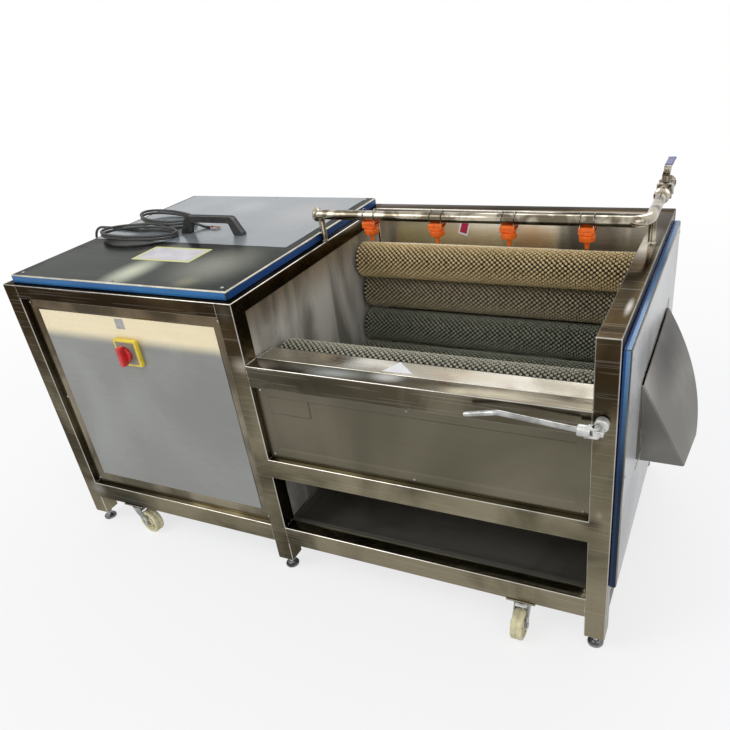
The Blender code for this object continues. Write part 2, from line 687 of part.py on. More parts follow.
def stepped_panel(name, place, low, high, finish):
    # A sheet with a flat border and a field set back from it. place turns (along, up, depth)
    # into a point of the machine; low and high are the panel's corners along and up.
    rings = []
    for inset, depth in ((0, 0), (PANEL_BORDER, 0), (PANEL_BORDER + PANEL_STEP, PANEL_STEP)):
        left, bottom = low[0] + inset, low[1] + inset
        right, top = high[0] - inset, high[1] - inset
        rings.append([((left, bottom), depth), ((right, bottom), depth), ((right, top), depth),
                      ((left, top), depth)])
    bm = bmesh.new()
    faces = []
    for thickness in (0, SHEET):
        layer = []
        for ring in rings:
            layer.append([bm.verts.new(place(*corner, depth + thickness)) for corner, depth in ring])
        for first, second in zip(layer, layer[1:]):
            for i in range(4):
                j = (i + 1) % 4
                bm.faces.new((first[i], first[j], second[j], second[i]))
        bm.faces.new(layer[-1])
        faces.append(layer[0])
    for i in range(4):
        j = (i + 1) % 4
        bm.faces.new((faces[0][i], faces[0][j], faces[1][j], faces[1][i]))
    node(name, loose(bm), finish)


def build_panels():
    low_z = BOTTOM_RAIL_TOP + GAP
    high_z = TOP_RAIL_Z - GAP
    cabinet_low = (TUBE + GAP, low_z)
    cabinet_high = (MIDDLE_POST_X - GAP, high_z)
    stepped_panel("cabinet_front_panel", lambda a, u, d: (a, PANEL_RECESS + d, u), cabinet_low,
                  cabinet_high, "film")
    stepped_panel("cabinet_rear_panel", lambda a, u, d: (a, FRAME_DEPTH - PANEL_RECESS - d, u),
                  cabinet_low, cabinet_high, "sheet")
    stepped_panel("cabinet_left_panel", lambda a, u, d: (PANEL_RECESS + d, a, u),
                  (TUBE + GAP, low_z), (REAR_FACE - GAP, high_z), "sheet")
    stepped_panel("tub_front_panel", lambda a, u, d: (a, PANEL_RECESS + d, u),
                  (CABINET_WIDTH + GAP, MIDDLE_RAIL_TOP + GAP), (RIGHT_POST_X - GAP, TUB_RAIL_Z - GAP),
                  "stainless")


def build_top_cover():
    low = (COVER_MARGIN_LEFT, COVER_MARGIN, FRAME_HEIGHT + GAP)
    high = (CABINET_WIDTH - COVER_MARGIN_RIGHT, FRAME_DEPTH - COVER_MARGIN, COVER_TOP)
    inner_low = (low[0] + SHEET, low[1] + SHEET, low[2] - OVERRUN)
    inner_high = (high[0] - SHEET, high[1] - SHEET, high[2] - SHEET)
    node("top_cover", welded([box(low, high)], [box(inner_low, inner_high)]), "film")


def build_cover_handle():
    # A bridge outline: two splayed legs and a level bar
    x, y = HANDLE_CENTRE
    half = HANDLE_SPAN / 2
    top = HANDLE_TOP_SPAN / 2
    base = COVER_TOP + GAP
    rise = base + HANDLE_HEIGHT
    under = rise - HANDLE_BAR
    inner = top - HANDLE_BAR
    chamfer = HANDLE_BAR / 2
    outline = [(x - half, base), (x - half, base + chamfer), (x - top, rise - chamfer / 2),
               (x - top + chamfer, rise), (x + top - chamfer, rise), (x + top, rise - chamfer / 2),
               (x + half, base + chamfer), (x + half, base), (x + half - HANDLE_FOOT, base),
               (x + inner, under), (x - inner, under), (x - half + HANDLE_FOOT, base)]
    solid = prism(outline, 1, y - HANDLE_WIDTH / 2, y + HANDLE_WIDTH / 2)
    node("cover_handle", solid, "black")


# Tub

def bearing_bores(start, end, shaft):
    radius = (shaft + RUNNING_GAP) / math.cos(math.pi / BEARING_SIDES)
    return [bar((start, y, z), (end, y, z), radius, BEARING_SIDES) for y, z in ROLLER_PLACES]


def build_tub_walls():
    low_y, high_y = TUBE + GAP, REAR_FACE - GAP
    low_z, high_z = BOTTOM_RAIL_TOP + GAP, TOP_RAIL_Z - GAP
    housing = LEFT_WALL_X - BEARING_HEIGHT
    solids = [box((LEFT_WALL_X, low_y, low_z), (LEFT_WALL_X + WALL, high_y, high_z))]
    solids += [bar((housing, y, z), (LEFT_WALL_X + WALL / 2, y, z), BEARING_RADIUS, BEARING_SIDES)
               for y, z in ROLLER_PLACES]
    cuts = bearing_bores(housing - OVERRUN, LEFT_WALL_X + WALL + OVERRUN, SHAFT_RADIUS)
    node("tub_left_wall", welded(solids, cuts), "sheet")

    # The right wall's bores carry the shafts' journals
    outside = RIGHT_WALL_X + WALL
    wall = box((RIGHT_WALL_X, low_y, low_z), (outside, high_y, high_z))
    cuts = bearing_bores(RIGHT_WALL_X - OVERRUN, outside + OVERRUN, JOURNAL_RADIUS)
    cuts.append(box((RIGHT_WALL_X - OVERRUN, OUTLET_Y, OUTLET_Z),
                    (outside + OVERRUN, OUTLET_Y + OUTLET_WIDTH, OUTLET_TOP)))
    node("tub_right_wall", welded([wall], cuts), "sheet")


def build_rear_wall():
    # A flat sheet with a folded lip, which closes the tub at the back
    face = REAR_FACE - GAP
    bottom = BOTTOM_RAIL_TOP + SHEET + 2 * GAP
    top = FRAME_HEIGHT - HEADER_TOP_GAP
    outline = [(face, bottom), (face, top), (face - WALL, top), (face - WALL, LIP_Z + WALL),
               (face - WALL - LIP_DEPTH, LIP_Z + WALL), (face - WALL - LIP_DEPTH, LIP_Z),
               (face - WALL, LIP_Z), (face - WALL, bottom)]
    solid = prism(outline, 0, CABINET_WIDTH + GAP, RIGHT_POST_X - GAP)
    node("tub_rear_wall", solid, "stainless")


def build_apron():
    # Seen from the end: a flange on the rail, a sloping top and a skirt before the brushes
    rail = TUBE + GAP
    top = TUB_RAIL_TOP - APRON_TOP_DROP
    free = TUBE + APRON_REACH
    skirt = TUBE + APRON_SKIRT
    slope = APRON_FALL / APRON_REACH

    def height(y):
        return top - (y - rail) * slope

    end = TUB_RAIL_TOP - APRON_SKIRT_END
    outline = [(rail, height(rail)), (free, height(free)), (free, height(free) - SHEET),
               (skirt + SHEET, height(skirt + SHEET) - SHEET), (skirt + SHEET, end), (skirt, end),
               (skirt, height(skirt) - SHEET), (rail + SHEET, height(rail + SHEET) - SHEET),
               (rail + SHEET, top - APRON_FLANGE), (rail, top - APRON_FLANGE)]
    solid = prism(outline, 0, CABINET_WIDTH + GAP, RIGHT_POST_X - GAP)
    node("front_apron", solid, "stainless")


def build_catch_tray():
    # A shallow pan hung on the bottom rails by its two lips, with a drain
    start, end = CABINET_WIDTH + GAP, RIGHT_POST_X - GAP
    low_y, high_y = TUBE + GAP, REAR_FACE - GAP
    lip = BOTTOM_RAIL_TOP + GAP
    floor = lip - TRAY_DEPTH
    pan = box((start, low_y, floor), (end, high_y, lip + SHEET))
    hollow = box((start + SHEET, low_y + SHEET, floor + SHEET), (end - SHEET, high_y - SHEET, lip + OVERRUN))
    front_lip = box((start, low_y - TRAY_LIP, lip), (end, low_y + SHEET / 2, lip + SHEET))
    rear_lip = box((start, high_y - SHEET / 2, lip), (end, high_y + TRAY_LIP, lip + SHEET))
    drain_x = end - DRAIN_INSET
    drain_y = high_y - DRAIN_INSET
    spout = bar((drain_x, drain_y, floor - DRAIN_LENGTH), (drain_x, drain_y, floor + SHEET / 2),
                DRAIN_RADIUS, DRAIN_SIDES)
    bore = bar((drain_x, drain_y, floor - DRAIN_LENGTH - OVERRUN), (drain_x, drain_y, floor + OVERRUN),
               DRAIN_RADIUS - SHEET, DRAIN_SIDES)
    node("catch_tray", welded([pan, front_lip, rear_lip, spout], [hollow, bore]), "sheet")


# Brush rollers

def tuft_places():
    # The faces of the core that carry a tuft: spiral lines, one face further on each ring
    return {(i, j) for i in range(ROLLER_RINGS) for j in range(ROLLER_SIDES) if (j - i) % TUFT_SPREAD == 0}


def brush_body():
    # Core, tufts and shaft as one skin about the X axis, the brush starting at x = 0
    length = BRUSH_END - BRUSH_START
    left = BRUSH_START - SPROCKET_X + SHAFT_END
    right = RIGHT_WALL_X + WALL + SHAFT_PAST_WALL - BRUSH_START
    bm = bmesh.new()

    def ring_at(x, radius):
        return [bm.verts.new((x, radius * math.cos(2 * math.pi * j / ROLLER_SIDES),
                              radius * math.sin(2 * math.pi * j / ROLLER_SIDES)))
                for j in range(ROLLER_SIDES)]

    def skin(first, second):
        for j in range(ROLLER_SIDES):
            k = (j + 1) % ROLLER_SIDES
            bm.faces.new((first[j], second[j], second[k], first[k]))

    core = [ring_at(length * i / ROLLER_RINGS, ROLLER_CORE) for i in range(ROLLER_RINGS + 1)]
    tufted = tuft_places()
    apothem = ROLLER_CORE * math.cos(math.pi / ROLLER_SIDES)
    tip_height = math.sqrt(ROLLER_RADIUS ** 2 - TUFT_TIP ** 2)
    for i in range(ROLLER_RINGS):
        for j in range(ROLLER_SIDES):
            k = (j + 1) % ROLLER_SIDES
            corners = [core[i][j], core[i + 1][j], core[i + 1][k], core[i][k]]
            if (i, j) not in tufted:
                bm.faces.new(corners)
                continue
            angle = 2 * math.pi * (j + 0.5) / ROLLER_SIDES
            out = Vector((0, math.cos(angle), math.sin(angle)))
            round_way = Vector((0, -math.sin(angle), math.cos(angle)))
            along = Vector((1, 0, 0))
            middle = along * length * (i + 0.5) / ROLLER_RINGS
            foot, tip = [
                [bm.verts.new(middle + out * height + reach * (along * math.cos(a) + round_way * math.sin(a)))
                 for a in (math.radians(210), math.radians(330), math.radians(90))]
                for height, reach in ((apothem, TUFT_ROOT), (tip_height, TUFT_TIP))
            ]
            for a in range(TUFT_SIDES):
                b = (a + 1) % TUFT_SIDES
                bm.faces.new((foot[a], foot[b], tip[b], tip[a]))
            bm.faces.new(tip)
            bm.faces.new((corners[0], corners[1], foot[1], foot[0]))
            bm.faces.new((corners[1], corners[2], foot[2], foot[1]))
            bm.faces.new((corners[2], corners[3], foot[2]))
            bm.faces.new((corners[3], corners[0], foot[0], foot[2]))
    left_shaft = [ring_at(0, SHAFT_RADIUS), ring_at(-left, SHAFT_RADIUS)]
    right_shaft = [ring_at(length, JOURNAL_RADIUS), ring_at(right, JOURNAL_RADIUS)]
    for chain in ([core[0]] + left_shaft, [core[-1]] + right_shaft):
        for first, second in zip(chain, chain[1:]):
            skin(first, second)
        bm.faces.new(chain[-1])
    return loose(bm)


def build_rollers():
    start = SPROCKET_X - BRUSH_START
    disc = toothed_disc(SPROCKET_TEETH, SPROCKET_TIP, SPROCKET_ROOT, SPROCKET_THICKNESS, start)
    mesh = welded([brush_body(), disc])
    mesh.name = "brush_roller"
    mesh.materials.append(finish_material("brush"))
    for i, (y, z) in enumerate(ROLLER_PLACES):
        placed(f"brush_roller_{i + 1}", mesh, (BRUSH_START, y, z))


# Drive

def build_drive():
    # Motor, gearbox, feet and base in one casting; its output sprocket turns in it
    box_end = SPROCKET_X - GEARBOX_GAP
    box_start = box_end - GEARBOX[0]
    floor = BOTTOM_RAIL_TOP + GAP
    plate_top = floor + MOTOR_BASE[1]
    low_z = DRIVE_AXIS_Z - GEARBOX[2] / 2
    half = GEARBOX[1] / 2
    motor_start = box_start - MOTOR_LENGTH
    base_start = motor_start + MOTOR_BASE_PAST
    solids = [
        box((box_start, TROUGH_Y - half, plate_top - EMBED), (box_end, TROUGH_Y + half, low_z + GEARBOX[2])),
        bar((motor_start, TROUGH_Y, DRIVE_AXIS_Z), (box_start + EMBED, TROUGH_Y, DRIVE_AXIS_Z),
            MOTOR_RADIUS, MOTOR_SIDES),
        box((base_start, MOTOR_BASE_MARGIN, floor),
            (box_end + MOTOR_BASE_PAST, FRAME_DEPTH - MOTOR_BASE_MARGIN, plate_top)),
    ]
    foot_y = TROUGH_Y - MOTOR_FOOT / 2
    foot_x = motor_start + MOTOR_FOOT
    solids.append(box((foot_x, foot_y, plate_top - EMBED),
                      (foot_x + MOTOR_FOOT, foot_y + MOTOR_FOOT, DRIVE_AXIS_Z - MOTOR_FOOT)))
    radius = (DRIVE_SHAFT_RADIUS + RUNNING_GAP) / math.cos(math.pi / SHAFT_SIDES)
    bore = bar((box_end - DRIVE_SHAFT_DEPTH - GAP, TROUGH_Y, DRIVE_AXIS_Z),
               (box_end + OVERRUN, TROUGH_Y, DRIVE_AXIS_Z), radius, SHAFT_SIDES)
    node("drive_motor", welded(solids, [bore]), "motor")

    disc = toothed_disc(DRIVE_TEETH, DRIVE_TIP, DRIVE_ROOT, SPROCKET_THICKNESS, 0)
    shaft = bar((box_end - DRIVE_SHAFT_DEPTH - SPROCKET_X, 0, 0), (SPROCKET_THICKNESS + SHAFT_END, 0, 0),
                DRIVE_SHAFT_RADIUS, SHAFT_SIDES)
    mesh = welded([shaft, disc])
    mesh.name = "drive_sprocket"
    mesh.materials.append(finish_material("zinc"))
    placed("drive_sprocket", mesh, (SPROCKET_X, TROUGH_Y, DRIVE_AXIS_Z))


# Discharge end

def build_end_cover():
    # A pan screwed to the right end, open towards the frame, with the outlet's hole
    low = (COVER_PLATE_X, END_COVER_MARGIN, END_COVER_BOTTOM)
    high = (COVER_PLATE_X + END_COVER_DEPTH, FRAME_DEPTH - END_COVER_MARGIN, END_COVER_TOP)
    hollow = box((low[0] - OVERRUN, low[1] + SHEET, low[2] + SHEET),
                 (high[0] - SHEET, high[1] - SHEET, high[2] - SHEET))
    margin = END_COVER_HOLE_MARGIN
    hole = box((low[0], OUTLET_Y - margin, OUTLET_Z - margin),
               (high[0] + OVERRUN, OUTLET_Y + OUTLET_WIDTH + margin, CHUTE_TOP - margin))
    node("end_cover", welded([box(low, high)], [hollow, hole]), "film")


def chute_row(share):
    # The chute's cut at one height: plate side, front corner, rear corner, plate side
    z = CHUTE_TOP + (CHUTE_BOTTOM - CHUTE_TOP) * share
    front = CHUTE_FRONT_TOP + (CHUTE_FRONT_BOTTOM - CHUTE_FRONT_TOP) * share
    rear = CHUTE_REAR_TOP + (CHUTE_REAR_BOTTOM - CHUTE_REAR_TOP) * share
    front_depth = CHUTE_ROOT + (CHUTE_FRONT_DEPTH - CHUTE_ROOT) * share
    rear_depth = CHUTE_ROOT + (CHUTE_REAR_DEPTH - CHUTE_ROOT) * (1 - (1 - share) ** 2)
    outer = [(CHUTE_X, front, z), (CHUTE_X + front_depth, front, z), (CHUTE_X + rear_depth, rear, z),
             (CHUTE_X, rear, z)]
    t = CHUTE_SHEET
    inner = [(CHUTE_X, front + t, z), (CHUTE_X + front_depth - t, front + t, z),
             (CHUTE_X + rear_depth - t, rear - t, z), (CHUTE_X, rear - t, z)]
    return outer + inner[::-1]


def build_chute():
    bm = bmesh.new()
    rows = []
    for i in range(CHUTE_ROWS + 1):
        share = (i / CHUTE_ROWS) ** 1.25
        rows.append([bm.verts.new(point) for point in chute_row(share)])
    count = len(rows[0])
    for first, second in zip(rows, rows[1:]):
        for i in range(count):
            j = (i + 1) % count
            bm.faces.new((first[i], first[j], second[j], second[i]))
    for row in (rows[0], rows[-1]):
        for i in range(3):
            bm.faces.new((row[i], row[i + 1], row[count - 2 - i], row[count - 1 - i]))
    node("discharge_chute", loose(bm), "stainless")


def build_door():
    # The flap hangs from the shaft and lies over the outlet, outside the tub wall
    left = RIGHT_WALL_X + WALL + FLAP_WALL_GAP
    flange = OUTLET_TOP + FLAP_LIFT
    outline = [(left, OUTLET_Z + FLAP_MARGIN), (left + WALL, OUTLET_Z + FLAP_MARGIN), (left + WALL, flange),
               (DOOR_SHAFT_X, flange), (DOOR_SHAFT_X, flange + WALL), (left, flange + WALL)]
    solid = prism(outline, 1, OUTLET_Y - FLAP_MARGIN, OUTLET_Y + OUTLET_WIDTH + FLAP_MARGIN)
    pivot = (DOOR_SHAFT_X, LEVER_Y, DOOR_SHAFT_Z)
    node("discharge_flap", solid, "sheet", pivot)

    end = REAR_FACE + DOOR_SHAFT_REACH
    shaft = bar((DOOR_SHAFT_X, -HUB_FRONT + EMBED, DOOR_SHAFT_Z), (DOOR_SHAFT_X, end, DOOR_SHAFT_Z),
                DOOR_SHAFT_RADIUS, SHAFT_SIDES)
    hub = bar((DOOR_SHAFT_X, -HUB_FRONT, DOOR_SHAFT_Z), (DOOR_SHAFT_X, -HUB_BACK, DOOR_SHAFT_Z),
              HUB_RADIUS, BEARING_SIDES)
    half = TONGUE_HEIGHT / 2
    eye = TONGUE_WIDTH / 2
    tongue = box((PIN_X, LEVER_Y - eye, LEVER_Z - half),
                 (DOOR_SHAFT_X + eye, -HUB_FRONT + EMBED, LEVER_Z + half))
    nose = bar((PIN_X, LEVER_Y, LEVER_Z - half), (PIN_X, LEVER_Y, LEVER_Z + half), eye, BEARING_SIDES)
    radius = (PIN_RADIUS + RUNNING_GAP) / math.cos(math.pi / SHAFT_SIDES)
    bore = bar((PIN_X, LEVER_Y, LEVER_Z - TONGUE_HEIGHT), (PIN_X, LEVER_Y, LEVER_Z + TONGUE_HEIGHT),
               radius, SHAFT_SIDES)
    node("door_shaft", welded([shaft, hub, tongue, nose], [bore]), "cast", pivot, smooth=True)


def build_lever():
    # Yoke and pin on the tongue, a sleeve and the bent rod
    half = TONGUE_HEIGHT / 2 + GAP
    eye = TONGUE_WIDTH / 2
    solids = []
    for low in (LEVER_Z + half, LEVER_Z - half - YOKE_PLATE):
        solids.append(box((PIN_X - YOKE_ROOT - EMBED, LEVER_Y - eye, low), (PIN_X, LEVER_Y + eye, low + YOKE_PLATE)))
        solids.append(bar((PIN_X, LEVER_Y, low), (PIN_X, LEVER_Y, low + YOKE_PLATE), eye, BEARING_SIDES))
    outer = half + YOKE_PLATE
    solids.append(box((PIN_X - YOKE_ROOT - YOKE_PLATE, LEVER_Y - eye, LEVER_Z - outer),
                      (PIN_X - YOKE_ROOT, LEVER_Y + eye, LEVER_Z + outer)))
    solids.append(bar((PIN_X, LEVER_Y, LEVER_Z - outer), (PIN_X, LEVER_Y, LEVER_Z + outer),
                      PIN_RADIUS, SHAFT_SIDES))
    root = PIN_X - YOKE_ROOT - EMBED
    solids.append(bar((root - SLEEVE_LENGTH, LEVER_Y, LEVER_Z), (root, LEVER_Y, LEVER_Z),
                      SLEEVE_RADIUS, SHAFT_SIDES))
    start = root - SLEEVE_LENGTH + EMBED
    elbow = (start - ROD_RUN[0], LEVER_Y, LEVER_Z + ROD_RUN[1])
    tail = (elbow[0] - ROD_TAIL[0], LEVER_Y, elbow[2] + ROD_TAIL[1])
    path = [(start, LEVER_Y, LEVER_Z), elbow, tail]
    solids.append(sweep(path, [ROD_RADIUS] * len(path), ROD_SIDES))
    node("door_lever", welded([solids[4]] + solids[:4] + solids[5:]), "cast", (PIN_X, LEVER_Y, LEVER_Z),
         smooth=True)


# Water

def pipe_path():
    # Along the machine, a bend to the back, and on to the valve: points and radii
    points = []
    radii = []

    def step(x, y, radius):
        points.append((x, y, PIPE_Z))
        radii.append(radius)

    ring_start = PIPE_LEFT_X + FERRULE_INSET
    step(PIPE_LEFT_X - FERRULE_INSET, PIPE_Y, FERRULE_RADIUS)
    step(PIPE_LEFT_X - FERRULE_INSET + FERRULE_LENGTH, PIPE_Y, FERRULE_RADIUS)
    step(PIPE_LEFT_X - FERRULE_INSET + FERRULE_LENGTH + EMBED, PIPE_Y, PIPE_RADIUS)
    step(ring_start, PIPE_Y, PIPE_RADIUS)
    bend_x = PIPE_RIGHT_X - PIPE_BEND
    bend_y = PIPE_Y + PIPE_BEND
    for i in range(PIPE_BEND_STEPS + 1):
        angle = math.pi / 2 * i / PIPE_BEND_STEPS
        step(bend_x + PIPE_BEND * math.sin(angle), bend_y - PIPE_BEND * math.cos(angle), PIPE_RADIUS)
    step(PIPE_RIGHT_X, PIPE_BACK_END - FERRULE_LENGTH - EMBED, PIPE_RADIUS)
    step(PIPE_RIGHT_X, PIPE_BACK_END - FERRULE_LENGTH, FERRULE_RADIUS)
    step(PIPE_RIGHT_X, PIPE_BACK_END, FERRULE_RADIUS)
    return points, radii


def build_spray_pipe():
    points, radii = pipe_path()
    foot = FRAME_HEIGHT + GAP
    solids = [sweep(points, radii, PIPE_SIDES)]
    for x, y in ((CABINET_WIDTH - STUB_RADIUS, PIPE_Y), (PIPE_RIGHT_X, RIGHT_STUB_Y)):
        solids.append(bar((x, y, foot), (x, y, PIPE_Z), STUB_RADIUS, STUB_SIDES))
    node("spray_pipe", welded(solids), "stainless", smooth=True)


def build_valve():
    x = PIPE_RIGHT_X
    radius, length = VALVE_BODY
    neck = (VALVE_LENGTH - length) / 2
    profile = [(0, FERRULE_RADIUS), (FERRULE_LENGTH, FERRULE_RADIUS), (FERRULE_LENGTH + EMBED, VALVE_NECK),
               (neck - EMBED, VALVE_NECK), (neck, radius), (neck + length, radius),
               (neck + length + EMBED, VALVE_NECK), (VALVE_LENGTH - FERRULE_LENGTH, VALVE_NECK),
               (VALVE_LENGTH - FERRULE_LENGTH, FERRULE_RADIUS), (VALVE_LENGTH, FERRULE_RADIUS)]
    solids = [turned(profile, (0, 1, 0), (x, VALVE_START, PIPE_Z), PIPE_SIDES)]
    y = VALVE_CENTRE_Y
    solids.append(bar((x, y, PIPE_Z), (x, y, PIPE_Z + VALVE_BONNET_TOP), VALVE_BONNET_RADIUS, SHAFT_SIDES))
    solids.append(bar((x, y, PIPE_Z), (x, y, PIPE_Z + VALVE_STEM_TOP), VALVE_STEM_RADIUS, SHAFT_SIDES))
    node("water_valve", welded(solids), "stainless", smooth=True)

    # A cranked flat lever with an eye round the stem, pointing back along the pipe
    base = PIPE_Z + VALVE_BONNET_TOP + GAP
    half = LEVER_WIDTH / 2
    crank = LEVER_EYE + LEVER_RISE
    outline = [(y - LEVER_EYE, base), (y + LEVER_EYE, base), (y + crank, base + LEVER_RISE),
               (y + LEVER_LENGTH, base + LEVER_RISE), (y + LEVER_LENGTH, base + LEVER_RISE + LEVER_THICKNESS),
               (y + crank - EMBED / 2, base + LEVER_RISE + LEVER_THICKNESS),
               (y + LEVER_EYE - EMBED / 2, base + LEVER_THICKNESS), (y - LEVER_EYE, base + LEVER_THICKNESS)]
    blade = prism(outline, 0, x - half, x + half)
    hole = (VALVE_STEM_RADIUS + RUNNING_GAP) / math.cos(math.pi / SHAFT_SIDES)
    bore = bar((x, y, base - OVERRUN), (x, y, base + OVERRUN + LEVER_THICKNESS), hole, SHAFT_SIDES)
    node("valve_handle", welded([blade], [bore]), "blue", (x, y, base))


def build_nozzles():
    # Each clip hangs under the pipe; its ball tip swings in a socket in the cap
    length, width, height = CLIP
    low = CLIP_TOP - height
    x = 0
    y = PIPE_Y
    clip = welded(
        [box((x - length / 2, y - width / 2, low), (x + length / 2, y + width / 2, CLIP_TOP)),
         bar((x, y, CAP_BOTTOM), (x, y, low + EMBED), CLIP_CAP_RADIUS, CLIP_SIDES)],
        [bar((x, y, CAP_BOTTOM - OVERRUN), (x, y, CAP_BOTTOM + SOCKET_DEPTH), SOCKET_RADIUS, CLIP_SIDES)])
    clip.transform(Matrix.Translation((0, -PIPE_Y, -BALL_Z)))
    clip.materials.append(finish_material("orange"))
    profile = []
    for share in (-0.95, -0.6, 0.0, 0.6):
        profile.append((share * BALL_RADIUS, BALL_RADIUS * math.sqrt(1 - share * share)))
    profile.append((BALL_RADIUS, TIP_RADIUS))
    profile.append((TIP_LENGTH, TIP_END_RADIUS))
    tip = welded([turned(profile, (0, 0, -1), (0, 0, 0), FOOT_SIDES)])
    tip.shade_smooth()
    tip.materials.append(finish_material("orange"))
    for i in range(NOZZLE_COUNT):
        place = (NOZZLE_FIRST_X + NOZZLE_PITCH * i, PIPE_Y, BALL_Z)
        placed(f"nozzle_clip_{i + 1}", clip, place)
        placed(f"nozzle_tip_{i + 1}", tip, place)


# Switch

def build_switch():
    x, z = SWITCH_CENTRE
    half = SWITCH_PLATE / 2
    face = PANEL_RECESS + PANEL_STEP - GAP
    front = face - SWITCH_BOX_DEPTH
    collar = front - SWITCH_COLLAR_DEPTH
    solids = [
        box((x - half, front, z - half), (x + half, face, z + half)),
        bar((x, collar, z), (x, front + EMBED, z), SWITCH_COLLAR_RADIUS, KNOB_SIDES),
    ]
    node("switch_plate", welded(solids), "yellow")
    back = collar - GAP
    grip_width, grip_depth, grip_height = KNOB_GRIP
    disc = bar((x, back - KNOB_DEPTH, z), (x, back, z), KNOB_RADIUS, KNOB_SIDES)
    grip = box((x - grip_width / 2, back - KNOB_DEPTH - grip_depth, z - grip_height / 2),
               (x + grip_width / 2, back - EMBED, z + grip_height / 2))
    node("switch_knob", welded([disc, grip]), "red", (x, back, z))


# Castors and feet

def build_castors():
    # Fork about its swivel line, the wheel trailing along +X from it
    leg = WHEEL_WIDTH / 2 + CASTOR_WHEEL_GAP
    crown_low = CASTOR_TOP - CASTOR_CROWN_HEIGHT
    solids = [bar((0, 0, crown_low), (0, 0, CASTOR_TOP), CASTOR_CROWN_RADIUS, SHAFT_SIDES)]
    axle_z = WHEEL_RADIUS
    eye = CASTOR_FORK_EYE
    outline = [(-CASTOR_FORK_LENGTH / 2, CASTOR_TOP - EMBED / 2), (-CASTOR_FORK_LENGTH / 2, crown_low - EMBED * 2),
               (CASTOR_TRAIL - eye, axle_z), (CASTOR_TRAIL - eye / 2, axle_z - eye),
               (CASTOR_TRAIL + eye / 2, axle_z - eye), (CASTOR_TRAIL + eye, axle_z),
               (CASTOR_FORK_LENGTH / 2, crown_low - EMBED * 2), (CASTOR_FORK_LENGTH / 2, CASTOR_TOP - EMBED / 2)]
    for side in (leg, -leg - CASTOR_FORK_WALL):
        solids.append(prism(outline, 1, side, side + CASTOR_FORK_WALL))
    past = leg + CASTOR_FORK_WALL * 2
    solids.append(bar((CASTOR_TRAIL, -past, axle_z), (CASTOR_TRAIL, past, axle_z), AXLE_RADIUS, FORK_SIDES))
    fork = welded(solids)
    fork.materials.append(finish_material("zinc"))

    half = WHEEL_WIDTH / 2
    tread = WHEEL_RADIUS / math.cos(math.pi / WHEEL_SIDES)
    rim = tread - WHEEL_RIM
    web = WHEEL_WEB / 2
    bore = WHEEL_BORE / math.cos(math.pi / WHEEL_SIDES)
    profile = [(-half, bore), (-half, WHEEL_HUB), (-web, WHEEL_HUB + EMBED), (-web, rim - EMBED),
               (-half, rim), (-half + WHEEL_SHOULDER, tread), (half - WHEEL_SHOULDER, tread), (half, rim),
               (web, rim - EMBED), (web, WHEEL_HUB + EMBED), (half, WHEEL_HUB), (half, bore)]
    wheel = welded([ring_body(profile, (0, 1, 0), (0, 0, 0), WHEEL_SIDES)])
    wheel.shade_smooth()
    wheel.set_sharp_from_angle(angle=math.radians(35))
    wheel.materials.append(finish_material("nylon"))
    for spot, (x, y) in CASTOR_SPOTS.items():
        turn = (0, 0, math.radians(CASTOR_TURNS[spot]))
        placed(f"castor_fork_{spot}", fork, (x, y, 0), turn)
        out = Matrix.Rotation(turn[2], 3, "Z") @ Vector((CASTOR_TRAIL, 0, WHEEL_RADIUS))
        placed(f"castor_wheel_{spot}", wheel, (x + out.x, y + out.y, out.z), turn)


def build_feet():
    nut_top = LEG_END_Z - FOOT_NUT_DROP
    nut_low = nut_top - FOOT_NUT_HEIGHT
    pad_low = FOOT_FLOOR_GAP
    pad_top = pad_low + FOOT_PAD_HEIGHT
    profile = [(pad_low, FOOT_PAD_RADIUS), (pad_top - EMBED, FOOT_PAD_RADIUS), (pad_top, FOOT_NUT_RADIUS),
               (pad_top + EMBED, FOOT_STEM_RADIUS), (nut_low, FOOT_STEM_RADIUS), (nut_low, FOOT_NUT_RADIUS),
               (nut_top, FOOT_NUT_RADIUS), (nut_top, FOOT_STEM_RADIUS),
               (LEG_END_Z + FOOT_REACH, FOOT_STEM_RADIUS)]
    mesh = welded([turned(profile, (0, 0, 1), (0, 0, 0), FOOT_SIDES)])
    mesh.shade_smooth()
    mesh.set_sharp_from_angle(angle=math.radians(35))
    mesh.materials.append(finish_material("zinc"))
    for spot, (x, y) in LEG_SPOTS.items():
        placed(f"levelling_foot_{spot}", mesh, (x, y, 0))


# Cord

def smooth_route(points, spacing):
    # A smooth curve through the points, sampled at an even spacing
    knots = np.array(points)
    padded = np.vstack([2 * knots[0] - knots[1], knots, 2 * knots[-1] - knots[-2]])
    dense = []
    shares = np.linspace(0, 1, 12, endpoint=False)[:, None]
    for a, b, c, d in zip(padded, padded[1:], padded[2:], padded[3:]):
        dense.append(0.5 * (2 * b + (c - a) * shares + (2 * a - 5 * b + 4 * c - d) * shares ** 2
                            + (3 * b - a - 3 * c + d) * shares ** 3))
    dense = np.vstack(dense + [knots[-1:]])
    lengths = np.concatenate([[0], np.cumsum(np.linalg.norm(np.diff(dense, axis=0), axis=1))])
    count = max(int(round(lengths[-1] / spacing)), 2)
    even = np.linspace(0, lengths[-1], count + 1)
    return np.stack([np.interp(even, lengths, dense[:, i]) for i in range(3)], axis=1)


